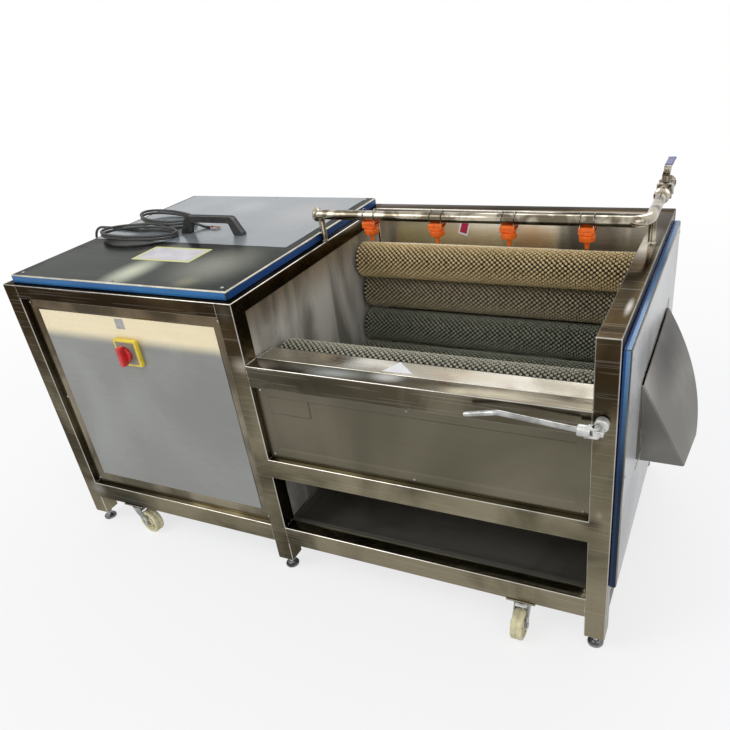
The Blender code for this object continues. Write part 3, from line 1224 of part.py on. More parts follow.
def lobe_turns(lobe, backwards):
    # Turns of one lobe: each climbs one rise while it passes the far end
    (x, y), along, across, tilt = LOBES[lobe]
    tilt = math.radians(tilt)
    way = -1 if backwards else 1
    points = []
    for i in range(HANK_TURNS * HANK_STEPS + 1):
        turn = i / HANK_STEPS
        angle = math.radians(LOBE_STARTS[lobe]) + way * 2 * math.pi * turn
        a, b = along * math.cos(angle), across * math.sin(angle)
        whole = min(int(turn), HANK_TURNS - 1)
        climb = min(max((turn - whole - CLIMB_START) / CLIMB_SHARE, 0), 1)
        height = CORD_LEVEL + HANK_RISE * (whole + climb * climb * (3 - 2 * climb))
        points.append((x + a * math.cos(tilt) - b * math.sin(tilt),
                       y + a * math.sin(tilt) + b * math.cos(tilt), height))
    return points


def hank_route():
    lead = [(x, y, CORD_LEVEL) for x, y in HANK_LEAD]
    crossing = [(x, y, CORD_LEVEL + rise) for x, y, rise in HANK_CROSSING]
    tail = [(x, y, CORD_LEVEL + rise) for x, y, rise in HANK_TAIL]
    return lead + lobe_turns("front", True) + crossing + lobe_turns("rear", False) + tail


def cord_route():
    # Straight out of the gland, a half circle up, then along the cover
    start = GLAND_END_X - GAP
    bend = (CORD_LEVEL - GLAND_Z) / 2
    bend_x = start - CORD_STRAIGHT
    points = [(start, GLAND_Y, GLAND_Z), (start - CORD_STRAIGHT / 2, GLAND_Y, GLAND_Z)]
    for i in range(CORD_BEND_STEPS + 1):
        angle = math.pi * i / CORD_BEND_STEPS
        points.append((bend_x - bend * math.sin(angle), GLAND_Y, GLAND_Z + bend * (1 - math.cos(angle))))
    return points + [(x, y, CORD_LEVEL) for x, y in CORD_ON_COVER]


def least_gap(points, diameter):
    # Smallest distance between stretches of the cord that are not neighbours, less its diameter
    fine = smooth_route(points, diameter / 2)
    least = math.inf
    skip = 8
    for i in range(len(fine) - skip):
        apart = np.linalg.norm(fine[i + skip:] - fine[i], axis=1).min()
        least = min(least, apart)
    return least - diameter


def route_length(points):
    fine = np.array(points)
    return float(np.linalg.norm(np.diff(fine, axis=0), axis=1).sum())


def cord_tube(name, points, resolution):
    curve = bpy.data.curves.new(name, "CURVE")
    curve.dimensions = "3D"
    curve.bevel_depth = CORD_RADIUS
    curve.bevel_resolution = resolution
    curve.use_fill_caps = True
    spline = curve.splines.new("POLY")
    spline.points.add(len(points) - 1)
    for target, point in zip(spline.points, points):
        target.co = (*point, 1)
    curve.materials.append(finish_material("black"))
    placed(name, curve, (0, 0, 0))


def build_cord():
    gland = turned(GLAND_PROFILE, (-1, 0, 0), (PANEL_RECESS - GAP, GLAND_Y, GLAND_Z), GLAND_SIDES)
    node("cord_gland", gland, "black", smooth=True)
    run = smooth_route(cord_route(), 4 * CORD_RADIUS)
    cord_tube("power_cord", run, 2)
    hank = hank_route()
    cord_tube("cord_hank", hank, 1)
    print(f"hank: {2 * HANK_TURNS} loops, least gap to itself {least_gap(hank, 2 * CORD_RADIUS) * 1000:.2f} mm")
    total = route_length(run) + route_length(smooth_route(hank, CORD_RADIUS))
    print(f"cord length {total:.3f} m")


clear_scene()
machine = bpy.data.objects.new("machine", None)
machine.location = -ORIGIN
bpy.context.scene.collection.objects.link(machine)
build_cabinet_frame()
build_middle_frame()
build_tub_frame()
build_panels()
build_top_cover()
build_cover_handle()
build_tub_walls()
build_rear_wall()
build_apron()
build_catch_tray()
build_rollers()
build_drive()
build_end_cover()
build_chute()
build_door()
build_lever()
build_spray_pipe()
build_valve()
build_nozzles()
build_switch()
build_castors()
build_feet()
build_cord()
print("origin in machine places", tuple(round(value, 6) for value in ORIGIN))
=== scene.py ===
import math

import bpy
import numpy as np
from mathutils import Matrix


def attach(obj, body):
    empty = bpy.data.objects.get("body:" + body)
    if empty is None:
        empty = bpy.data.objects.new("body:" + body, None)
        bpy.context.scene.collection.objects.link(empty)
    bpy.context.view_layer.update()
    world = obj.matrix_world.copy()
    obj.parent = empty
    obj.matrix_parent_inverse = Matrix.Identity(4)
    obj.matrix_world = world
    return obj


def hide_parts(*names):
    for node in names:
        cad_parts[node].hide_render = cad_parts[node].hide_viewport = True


# Potato washing and peeling machine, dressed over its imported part.
# Places are in metres from the frame's front left corner on the floor, and cornerToOrigin brings them to the
# part's own origin when a mesh is made. What goes through mm, turned or block is in millimetres.

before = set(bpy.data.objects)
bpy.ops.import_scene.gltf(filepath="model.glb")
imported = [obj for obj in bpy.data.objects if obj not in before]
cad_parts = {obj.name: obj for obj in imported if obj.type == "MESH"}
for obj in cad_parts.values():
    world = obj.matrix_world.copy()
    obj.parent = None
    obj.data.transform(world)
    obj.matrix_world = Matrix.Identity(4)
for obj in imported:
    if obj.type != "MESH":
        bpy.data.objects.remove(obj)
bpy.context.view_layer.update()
cornerToOrigin = np.array([0.90915, 0.4124, 0.0])
xWay, yWay, zWay = np.identity(3)
print("packed part loaded")

machine = {"length": 1.695, "depth": 0.842, "height": 0.856, "cabinet": 0.795, "tube": 0.05, "topRail": 0.816,
           "lowRail": 0.108, "lowRailTop": 0.168, "shelfRail": 0.346, "shelfRailTop": 0.406, "tubRail": 0.631,
           "tubRailTop": 0.691, "legEnd": 0.042, "lidTop": 0.879, "roundness": 0.003, "setBack": 0.016}


# Camera and light

def addNode(tree, kind, inputs=None, **settings):
    # A shader node; its inputs, by name or number, take plain values or the sockets that feed them
    node = tree.nodes.new("ShaderNode" + kind)
    for key, value in settings.items():
        setattr(node, key, value)
    for key, value in (inputs or {}).items():
        if isinstance(value, bpy.types.NodeSocket):
            tree.links.new(value, node.inputs[key])
        else:
            node.inputs[key].default_value = value
    return node


def mathNode(tree, operation, first, second):
    return addNode(tree, "Math", {0: first, 1: second}, operation=operation).outputs[0]


def seenRays(tree):
    # One for camera, glossy and transmission rays
    rays = addNode(tree, "LightPath").outputs
    seen = mathNode(tree, "MAXIMUM", rays["Is Camera Ray"], rays["Is Glossy Ray"])
    return mathNode(tree, "MAXIMUM", seen, rays["Is Transmission Ray"])


cameraValues = {"place": (0.96117, -1.63014, 1.45307), "lens": 34.735, "shift": (-0.05413, 0.06101),
                "right": (0.905895, 0.410729, -0.103226), "up": (-0.131871, 0.505198, 0.852869),
                "back": (0.402448, -0.758997, 0.51182)}
lampValues = {  # place, aimed at, size, watts
    "keyLamp": ((-2.2, -2.6, 3.4), (-0.1, 0.0, 0.5), 2.6, 62),
    "fillLamp": ((2.8, -2.2, 2.2), (0.1, 0.0, 0.5), 2.6, 26),
    "backLamp": ((0.3, 2.6, 3.2), (0.0, 0.0, 0.6), 2.6, 42)}


def makeCamera():
    data = bpy.data.cameras.new("photoCamera")
    data.sensor_width, data.lens, data.clip_end = 36.0, cameraValues["lens"], 100.0
    data.shift_x, data.shift_y = cameraValues["shift"]
    camera = bpy.data.objects.new("photoCamera", data)
    bpy.context.scene.collection.objects.link(camera)
    turn = np.identity(4)
    for column, key in enumerate(("right", "up", "back", "place")):
        turn[:3, column] = cameraValues[key]
    camera.matrix_world = Matrix(turn.tolist())
    bpy.context.scene.camera = camera


def makeLight():
    # Large soft lamps on three sides, and a world that is white to the camera and to metal
    for name, (place, aim, size, watts) in lampValues.items():
        data = bpy.data.lights.new(name, "AREA")
        data.shape, data.size, data.energy = "DISK", size, watts
        lamp = bpy.data.objects.new(name, data)
        lamp.location = place
        away = np.array(place) - np.array(aim)
        tilt, turn = math.acos(away[2] / np.linalg.norm(away)), math.atan2(away[1], away[0]) + math.pi / 2
        lamp.rotation_euler = (tilt, 0, turn)
        bpy.context.scene.collection.objects.link(lamp)
    world = bpy.data.worlds.new("studio")
    bpy.context.scene.world = world
    world.use_nodes = True
    tree = world.node_tree
    tree.nodes.clear()
    soft = addNode(tree, "Background", {"Color": (0.97, 0.98, 1.0, 1), "Strength": 0.62})
    white = addNode(tree, "Background", {"Color": (1, 1, 1, 1), "Strength": 1.0})
    mixed = addNode(tree, "MixShader", {0: seenRays(tree), 1: soft.outputs[0], 2: white.outputs[0]})
    addNode(tree, "OutputWorld", {"Surface": mixed.outputs[0]})
    bpy.context.scene.view_settings.view_transform = "Standard"


makeCamera()
makeLight()
print("camera and light made")


# Shells: points, lists of faces with their own UVs in metres, and how far each point is a worn edge with a
# painted highlight (on a tuft: how far it is from the painted shade at its root)

def shell(points, faces, uvs, smooth, wear=None):
    points = np.asarray(points, float).reshape(-1, 3)
    wear = np.zeros(len(points)) if wear is None else wear
    return {"points": points, "faces": faces, "uvs": uvs, "smooth": smooth, "wear": wear}


def outward(part):
    # The signed volume is the sum of fans of tetrahedra; where it is negative, every face turns round
    middle = part["points"].mean(0)
    volume = 0.0
    for faces in part["faces"]:
        corners = part["points"][faces] - middle
        for i in range(1, faces.shape[1] - 1):
            volume += np.einsum("ij,ij->i", corners[:, 0], np.cross(corners[:, i], corners[:, i + 1])).sum()
    if volume < 0:
        part["faces"] = [faces[:, ::-1] for faces in part["faces"]]
        part["uvs"] = [uv[:, ::-1] for uv in part["uvs"]]
    return part


def joined(parts):
    # Shells one after another; each face's numbers rise by the points that came before
    starts = np.cumsum([0] + [len(part["points"]) for part in parts])
    faces = [group + start for part, start in zip(parts, starts) for group in part["faces"]]
    uvs, smooth = ([item for part in parts for item in part[key]] for key in ("uvs", "smooth"))
    points, wear = (np.concatenate([part[key] for part in parts]) for key in ("points", "wear"))
    return shell(points, faces, uvs, smooth, wear)


def moved(part, turn=None, shift=(0, 0, 0)):
    # Every point p becomes turn times p, plus shift
    points = part["points"] if turn is None else part["points"] @ np.array(turn).T
    return {**part, "points": points + np.array(shift)}


def turnAbout(axis, degrees):
    # Rodrigues' formula: identity, plus sine times the cross matrix, plus one less cosine times its square
    x, y, z = axis
    cross = np.array([[0, -z, y], [z, 0, -x], [-y, x, 0]])
    angle = math.radians(degrees)
    return np.identity(3) + math.sin(angle) * cross + (1 - math.cos(angle)) * cross @ cross


def gridShell(points, wrapU=False, wrapV=False, capU=True):
    # A grid of points (rows, columns): u and v are the mean distances walked along rows and columns
    points = np.asarray(points, float)
    rows, columns = points.shape[:2]
    stepsU, stepsV = rows - (not wrapU), columns - (not wrapV)
    i, j = np.meshgrid(np.arange(stepsU), np.arange(stepsV), indexing="ij")
    nextI, nextJ = (i + 1) % rows, (j + 1) % columns
    number = np.arange(rows * columns).reshape(rows, columns)
    quads = np.stack([number[i, j], number[nextI, j],
                      number[nextI, nextJ], number[i, nextJ]], -1).reshape(-1, 4)

    def walked(way, steps):
        lengths = np.linalg.norm(np.roll(points, -1, way) - points, axis=2).mean(1 - way)
        return np.concatenate([[0], np.cumsum(lengths[:steps])])

    u, v = walked(0, stepsU), walked(1, stepsV)
    uv = np.stack([np.stack([u[a], v[b]], -1) for a, b in ((i, j), (i + 1, j), (i + 1, j + 1), (i, j + 1))],
                  2)
    faces, uvs, smooth = [quads], [uv.reshape(-1, 4, 2)], [True]
    if capU and wrapV and not wrapU:
        for row, way in ((0, -1), (rows - 1, 1)):
            flat = points[row][::way] - points[row].mean(0)
            across = flat[0] / max(np.linalg.norm(flat[0]), 1e-9)
            normal = np.cross(flat[0], flat[len(flat) // 3])
            up = np.cross(normal / max(np.linalg.norm(normal), 1e-12), across)
            faces.append(number[row][::way][None])
            uvs.append(np.stack([flat @ across, flat @ up], -1)[None])
            smooth.append(False)
    return shell(points, faces, uvs, smooth)


def boxShell(low, high, roundness=0.002, segments=2):
    # Each side is a grid whose outer rows stand at the edge less roundness times (1 - tangent of an angle
    # from 45 degrees to 0); a point is its nearest place in the box shrunk by roundness, plus roundness
    # times the unit way out
    low, high = np.array(low, float), np.array(high, float)
    half = (high - low) / 2
    roundness = min(roundness, half.min() * 0.98)
    tangents = roundness * np.tan(np.radians(np.linspace(45, 0, segments + 1)))
    ticks = [np.concatenate([roundness - h - tangents, h - roundness + tangents[::-1]]) for h in half]
    count = len(ticks[0])
    i, j = (steps.ravel() for steps in np.meshgrid(np.arange(count - 1), np.arange(count - 1), indexing="ij"))
    points, quads, uvs = [], [], []
    longest = int(np.argmax(half))
    for axis in range(3):
        one, two = [a for a in range(3) if a != axis]
        along = longest if longest != axis else one
        across = 3 - axis - along
        for side in (-1, 1):
            grid = np.zeros((count, count, 3))
            grid[..., one], grid[..., two] = np.meshgrid(ticks[one], ticks[two], indexing="ij")
            grid[..., axis] = side * half[axis]
            grid = grid.reshape(-1, 3)
            cells = i * count + j
            cells = np.stack([cells, cells + count, cells + count + 1, cells + 1], -1)
            if (side == 1) == (axis == 1):
                cells = cells[:, ::-1]
            uv = np.stack([grid[:, along], grid[:, across] + (axis * 2 + side) * half.min()], -1)
            quads.append(len(points) * count * count + cells)
            points.append(grid)
            uvs.append(uv[cells])
    points = np.vstack(points)
    inner = np.clip(points, roundness - half, half - roundness)
    out = points - inner
    out /= np.linalg.norm(out, axis=1)[:, None]
    # How far each point lies on a rounded edge: worn there, and painted bright as a highlight
    wear = np.clip((1 - np.abs(out).max(1)) / 0.29, 0, 1)
    whole, index, back = np.unique(np.round(inner + roundness * out, 7), axis=0, return_index=True,
                                   return_inverse=True)
    quads, uvs = back.reshape(-1)[np.vstack(quads)], np.vstack(uvs)
    flats = np.tile((i == segments) & (j == segments), 6)
    return shell(whole + (low + high) / 2, [quads[flats], quads[~flats]], [uvs[flats], uvs[~flats]],
                 [False, True], wear[index])


def block(centre, size, roundness=2.0, segments=2):
    # A rounded box about its centre: size and roundness in millimetres
    half = np.array(size) / 2000
    return boxShell(centre - half, centre + half, roundness / 1000, segments)


def tubeShell(path, radius, sides=12, upright=zWay):
    # A ring round each path point: side is the way along crossed with upright, and the ring's points are
    # radius times (cosine side + sine up)
    path = np.asarray(path, float)
    radius = np.broadcast_to(np.asarray(radius, float), (len(path),))
    along = np.gradient(path, axis=0)
    along /= np.linalg.norm(along, axis=1)[:, None]
    side = np.cross(along, upright)
    side /= np.linalg.norm(side, axis=1)[:, None]
    angle = 2 * np.pi * np.arange(sides) / sides
    ring = np.cos(angle)[:, None] * side[:, None] + np.sin(angle)[:, None] * np.cross(side, along)[:, None]
    return outward(gridShell(path[:, None] + radius[:, None, None] * ring, wrapV=True))


def mm(*values):
    # Pairs in millimetres, as an array in metres
    return np.array(values, float).reshape(-1, 2) / 1000


def roundAxis(axis, sides):
    # The unit axis, the angles of the sides, and the unit way out at each: cosine side + sine up
    axis = np.array(axis, float) / np.linalg.norm(axis)
    side = np.cross(axis, zWay) if abs(axis[2]) < 0.9 else xWay
    side = side / np.linalg.norm(side)
    angle = 2 * np.pi * (np.arange(sides) + 0.5) / sides
    return axis, angle, np.cos(angle)[:, None] * side + np.sin(angle)[:, None] * np.cross(axis, side)


def turnedShell(profile, base, axis, sides=24):
    # Profile pairs (distance along the axis, radius) turned about it; a zero radius is one point, a pole
    axis, angle, out = roundAxis(axis, sides)
    startPole, endPole = profile[0, 1] < 1e-7, profile[-1, 1] < 1e-7
    rings = profile[int(startPole):len(profile) - int(endPole)]
    part = gridShell(np.array(base) + rings[:, 0, None, None] * axis + rings[:, 1, None, None] * out,
                     wrapV=True, capU=False)
    number = np.arange(len(rings) * sides).reshape(len(rings), sides)
    for pole, row, way in ((startPole, 0, 1), (endPole, -1, -1)):
        ring = number[row][::way]
        flatUv = np.stack([np.cos(angle), np.sin(angle)], -1)[::way] * rings[row, 1]
        if pole:
            fan = np.stack([np.roll(ring, -1), ring, np.full(sides, len(part["points"]))], -1)
            fanUv = np.stack([np.roll(flatUv, -1, 0), flatUv, np.zeros((sides, 2))], 1)
            part["points"] = np.vstack([part["points"], np.array(base) + profile[row, 0] * axis])
        else:
            fan, fanUv = ring[::-1][None], flatUv[::-1][None]
        part["faces"].append(fan)
        part["uvs"].append(fanUv)
        part["smooth"].append(bool(pole))
    part["wear"] = np.zeros(len(part["points"]))
    return outward(part)


def turned(base, axis, sides, *values, end=None):
    # A profile in millimetres, closed by a pole at its first distance and at its last, or at end
    profile = mm(values[0], 0, *values, values[-2] if end is None else end, 0)
    return turnedShell(profile, base, axis, sides)


def ringShell(profile, base, axis, sides=32):
    # A closed profile turned about the axis, which leaves a bore
    axis, _, out = roundAxis(axis, sides)
    points = np.array(base) + profile[:, 0, None] * axis + profile[:, 1, None] * out[:, None]
    return outward(gridShell(points, wrapU=True, wrapV=True))


def prismShell(outline, axis, start, end):
    # A closed outline carried straight along one axis
    points = np.stack([np.insert(np.asarray(outline, float), axis, depth, axis=1) for depth in (start, end)])
    part = gridShell(points, wrapV=True)
    part["smooth"] = [False] * len(part["faces"])
    return outward(part)


def stackShell(rows, place, closed=False, wornAndHighlit=()):
    # Rings of rectangles with quarter circles at their corners (low, high, corner, depth), joined one to the
    # next: corner's middle plus corner times (cosine, sine). The last argument lists the rows painted bright,
    # a worn edge with a painted highlight
    angle = np.radians(np.linspace(0, 90, 4))[None] + np.radians([[0], [90], [180], [270]])
    rings = []
    for low, high, corner, depth in rows:
        low, high = np.array(low, float), np.array(high, float)
        corner = min(corner, (high - low).min() / 2 - 1e-5)
        middles = [[(low, high)[a][0] + (corner, -corner)[a], (low, high)[b][1] + (corner, -corner)[b]]
                   for a, b in ((1, 1), (0, 1), (0, 0), (1, 0))]
        ring = np.array(middles)[:, None] + corner * np.stack([np.cos(angle), np.sin(angle)], -1)
        ring = ring.reshape(-1, 2)
        rings.append(np.stack(place(ring[:, 0], ring[:, 1], np.full(len(ring), depth)), -1))
    part = gridShell(np.array(rings), wrapU=closed, wrapV=True)
    wear = np.zeros((len(rows), len(rings[0])))
    wear[list(wornAndHighlit)] = 1
    part["wear"] = wear.ravel()
    return outward(part)


def facing(axis, at=0.0, way=1):
    # Puts (across, up, depth) arrays in the machine: depth runs along the axis from at, the way given
    def place(a, b, depth):
        ways = [a, b]
        ways.insert(axis, at + way * depth)
        return ways
    return place


def filmShell(low, high, place, depth, ripple=0.0004, columns=40, rows=40, seed=1.0):
    # A thin sheet on a grid, lifted by a sum of sines that grows towards its edges
    a, b = np.meshgrid(np.linspace(low[0], high[0], columns), np.linspace(low[1], high[1], rows),
                       indexing="ij")
    fromEdge = np.minimum.reduce([a - low[0], high[0] - a, b - low[1], high[1] - b])
    lift = ripple * np.exp(-fromEdge / 0.012) * (0.6 + 0.4 * np.sin(a * 61 * seed + b * 47)) \
        + ripple * 0.25 * (1 + np.sin(a * 23 * seed + 1.3) * np.sin(b * 19 + seed))
    front = np.stack(place(a, b, depth - 0.00025 - lift), -1)
    back = np.stack(place(a, b, np.full_like(a, depth)), -1)
    number = np.arange(columns * rows).reshape(columns, rows)
    quads = np.stack([number[:-1, :-1], number[1:, :-1], number[1:, 1:], number[:-1, 1:]], -1).reshape(-1, 4)
    flat = np.stack([a.ravel(), b.ravel()], -1)
    rim = np.concatenate([number[:, 0], number[-1, 1:], number[-2::-1, -1], number[0, -2:0:-1]])
    after, count = np.roll(rim, -1), columns * rows
    side = np.stack([rim, after, after + count, rim + count], -1)
    return outward(shell(np.vstack([front.reshape(-1, 3), back.reshape(-1, 3)]),
                         [quads[:, ::-1], quads + count, side],
                         [flat[quads[:, ::-1]], flat[quads], flat[side % count]], [True, True, False]))


def smoothRoute(points, spacing):
    # A smooth curve through the points, sampled at an even spacing
    knots = np.array(points, float)
    padded = np.vstack([2 * knots[0] - knots[1], knots, 2 * knots[-1] - knots[-2]])
    shares = np.linspace(0, 1, 12, endpoint=False)[None, :, None]
    a, b, c, d = (padded[i:len(padded) - 3 + i][:, None] for i in range(4))
    dense = 0.5 * (2 * b + (c - a) * shares + (2 * a - 5 * b + 4 * c - d) * shares ** 2
                   + (3 * b - a - 3 * c + d) * shares ** 3)
    dense = np.vstack([dense.reshape(-1, 3), knots[-1:]])
    lengths = np.concatenate([[0], np.cumsum(np.linalg.norm(np.diff(dense, axis=0), axis=1))])
    even = np.linspace(0, lengths[-1], max(int(round(lengths[-1] / spacing)), 2) + 1)
    return np.stack([np.interp(even, lengths, dense[:, i]) for i in range(3)], 1)


def makePiece(name, finish, slot, parts, body="machine", node=None, bevel=0.0):
    # One object from a list of shells, its place in its mesh; node is the CAD node that it stands for
    whole = joined(parts)
    mesh = bpy.data.meshes.new(name)
    sizes = np.concatenate([np.full(len(faces), faces.shape[1]) for faces in whole["faces"]]).astype(np.int32)
    corners = np.concatenate([faces.ravel() for faces in whole["faces"]]).astype(np.int32)
    smooth = np.concatenate([np.full(len(faces), flag)
                             for faces, flag in zip(whole["faces"], whole["smooth"])])
    mesh.vertices.add(len(whole["points"]))
    mesh.vertices.foreach_set("co", (whole["points"] - cornerToOrigin).astype(np.float32).ravel())
    mesh.loops.add(len(corners))
    mesh.loops.foreach_set("vertex_index", corners)
    mesh.polygons.add(len(sizes))
    mesh.polygons.foreach_set("loop_start", np.concatenate([[0], np.cumsum(sizes)[:-1]]).astype(np.int32))
    mesh.polygons.foreach_set("loop_total", sizes)
    mesh.polygons.foreach_set("use_smooth", smooth)
    uvs = np.concatenate([uv.reshape(-1, 2) for uv in whole["uvs"]])
    mesh.uv_layers.new(name="metres").data.foreach_set("uv", uvs.astype(np.float32).ravel())
    # Per point: a worn edge with a painted highlight, and on tufts the painted shade from root to tip
    wear = mesh.attributes.new("wear", "FLOAT", "POINT")
    wear.data.foreach_set("value", whole["wear"].astype(np.float32))
    mesh.update(calc_edges=True)
    mesh.validate()
    mesh.set_sharp_from_angle(angle=math.radians(38))
    mesh.materials.append(finishes[finish])
    piece = bpy.data.objects.new(name, mesh)
    bpy.context.scene.collection.objects.link(piece)
    if bevel:
        rounded = piece.modifiers.new("roundedEdges", "BEVEL")
        rounded.width, rounded.segments = bevel, 2
        rounded.limit_method, rounded.angle_limit = "ANGLE", math.radians(40)
    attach(piece, body)
    if node:
        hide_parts(*node.split())
    return piece


# Effects that several finishes share

def newGroup(name, inputs, outputs=("Mask",)):
    # Inputs without a default are vectors
    group = bpy.data.node_groups.new(name, "ShaderNodeTree")
    for label, value in inputs.items():
        kind = "NodeSocketVector" if value is None else "NodeSocketFloat"
        socket = group.interface.new_socket(name=label, in_out="INPUT", socket_type=kind)
        if value is not None:
            socket.default_value = value
    for label in outputs:
        group.interface.new_socket(name=label, in_out="OUTPUT", socket_type="NodeSocketFloat")
    given = group.nodes.new("NodeGroupInput").outputs
    out = group.nodes.new("NodeGroupOutput").inputs

    def putOut(value):
        for label in outputs:
            group.links.new(value, out[label])
        return group
    return group, given, putOut


def smoothStep(tree, value, start, end, low=0.0, high=1.0):
    inputs = {"Value": value, "From Min": start, "From Max": end, "To Min": low, "To Max": high}
    return addNode(tree, "MapRange", inputs, interpolation_type="SMOOTHSTEP").outputs[0]


def makeBrushedGrain():
    # Fine lines along the first coordinate: noise that is stretched along it
    group, given, putOut = newGroup("brushedGrain", {"Vector": None, "Lines": 900.0, "Length": 12.0},
                                    ("Shade", "Height"))
    ways = addNode(group, "SeparateXYZ", {0: given["Vector"]}).outputs
    scaled = {i: mathNode(group, "MULTIPLY", ways[i], given[label])
              for i, label in enumerate(("Length", "Lines", "Lines"))}
    vector = addNode(group, "CombineXYZ", scaled).outputs[0]
    return putOut(addNode(group, "TexNoise", {"Vector": vector, "Scale": 1.0, "Detail": 3.0}).outputs[0])


def makeBlotches():
    # Soft patches: noise whose middle range is spread to 0 and 1
    group, given, putOut = newGroup("softBlotches", {"Vector": None, "Scale": 4.0, "Low": 0.35, "High": 0.65})
    noise = addNode(group, "TexNoise", {"Vector": given["Vector"], "Scale": given["Scale"], "Detail": 4.0,
                                        "Distortion": 0.6})
    return putOut(smoothStep(group, noise.outputs[0], given["Low"], given["High"]))


def makeEdgeWearAndHighlight():
    # Bright worn edges with a painted highlight: the edge value, broken up by noise
    group, given, putOut = newGroup("edgeWearAndHighlight", {"Edge": 0.0, "Vector": None, "Scale": 30.0, "Amount": 0.8})
    noise = addNode(group, "TexNoise", {"Vector": given["Vector"], "Scale": given["Scale"], "Detail": 2.0})
    broken = mathNode(group, "ADD", noise.outputs[0], 0.35)
    wornAndHighlit = mathNode(group, "MULTIPLY", given["Edge"], broken)
    scaled = mathNode(group, "MULTIPLY", wornAndHighlit, given["Amount"])
    return putOut(addNode(group, "Clamp", {"Value": scaled}).outputs[0])


def makeScratches():
    # Thin straight lines: the highest parts of two noises, each stretched along its own way
    group, given, putOut = newGroup("strayScratches", {"Vector": None, "Scale": 10.0, "Limit": 0.7})
    lines = []
    for turn in (0.3, 2.0):
        mapped = addNode(group, "Mapping", {"Vector": given["Vector"], "Rotation": (0.0, turn, turn),
                                            "Scale": (0.6, 30.0, 30.0)})
        noise = addNode(group, "TexNoise", {"Vector": mapped.outputs[0], "Scale": given["Scale"],
                                            "Detail": 0.0})
        lines.append(mathNode(group, "GREATER_THAN", noise.outputs[0], given["Limit"]))
    return putOut(mathNode(group, "MAXIMUM", *lines))


def makePaintedLightSpot():
    # A soft round patch of painted light and shade: one less the distance from its centre in units of its
    # size, smoothed
    group, given, putOut = newGroup("paintedLightSpot", {"Vector": None, "Centre": None, "Size": None})
    away = addNode(group, "VectorMath", {0: given["Vector"], 1: given["Centre"]}, operation="SUBTRACT")
    scaled = addNode(group, "VectorMath", {0: away.outputs[0], 1: given["Size"]}, operation="DIVIDE")
    length = addNode(group, "VectorMath", {0: scaled.outputs[0]}, operation="LENGTH")
    return putOut(smoothStep(group, length.outputs["Value"], 1.0, 0.0))


brushedGrain, softBlotches, edgeWearAndHighlight = makeBrushedGrain(), makeBlotches(), makeEdgeWearAndHighlight()
strayScratches, paintedLightSpot = makeScratches(), makePaintedLightSpot()


def placeGroup(tree, group, vector, **values):
    return addNode(tree, "Group", {"Vector": vector, **values}, node_tree=group).outputs[0]


def mixColours(tree, factor, first, second, blend="MIX"):
    first, second = ((*value, 1) if isinstance(value, tuple) else value for value in (first, second))
    return addNode(tree, "Mix", {0: factor, 6: first, 7: second}, data_type="RGBA",
                   blend_type=blend).outputs[2]


def spreadValue(tree, value, low, high):
    return addNode(tree, "MapRange", {"Value": value, "To Min": low, "To Max": high}).outputs[0]


def newMaterial(name, **plain):
    # The shader's own sockets take whatever is the same all over
    material = bpy.data.materials.new(name)
    material.use_nodes = True
    tree = material.node_tree
    sockets = tree.nodes["Principled BSDF"].inputs
    labels = {"metallic": "Metallic", "coat": "Coat Weight", "specular": "Specular IOR Level",
              "subsurface": "Subsurface Weight", "edgeTint": "Specular Tint"}
    for key, value in plain.items():
        sockets[labels[key]].default_value = (value, value, value, 1) if key == "edgeTint" else value
    return material, tree, sockets


def finish(tree, sockets, colour, roughness, height, distance, strength=1.0):
    # Feeds the shader its colour, its roughness and its bump
    bump = addNode(tree, "Bump", {"Height": height, "Distance": distance, "Strength": strength})
    for label, value in (("Base Color", colour), ("Roughness", roughness), ("Normal", bump.outputs[0])):
        tree.links.new(value, sockets[label])


def addPaintedLight(tree, place, colour, paintedLightSpots):
    # Painted highlights, reflections and shade. Each spot: its centre from the frame's corner, its size, its
    # colour, and how strong it is
    for spot in paintedLightSpots:
        mask = placeGroup(tree, paintedLightSpot, place, Centre=np.array(spot[:3]) - cornerToOrigin, Size=spot[3:6])
        colour = mixColours(tree, mathNode(tree, "MULTIPLY", mask, spot[9]), colour, spot[6:9])
    return colour


def addPaintedHeightShade(tree, place, colour, start, end, tint):
    # Painted shade by height: colour times the tint, by a smooth step that runs from the start height to the
    # end height
    height = addNode(tree, "SeparateXYZ", {0: place}).outputs[2]
    share = smoothStep(tree, height, min(start, end), max(start, end), float(start > end), float(end > start))
    return mixColours(tree, share, colour, mixColours(tree, 1.0, colour, tint, "MULTIPLY"))


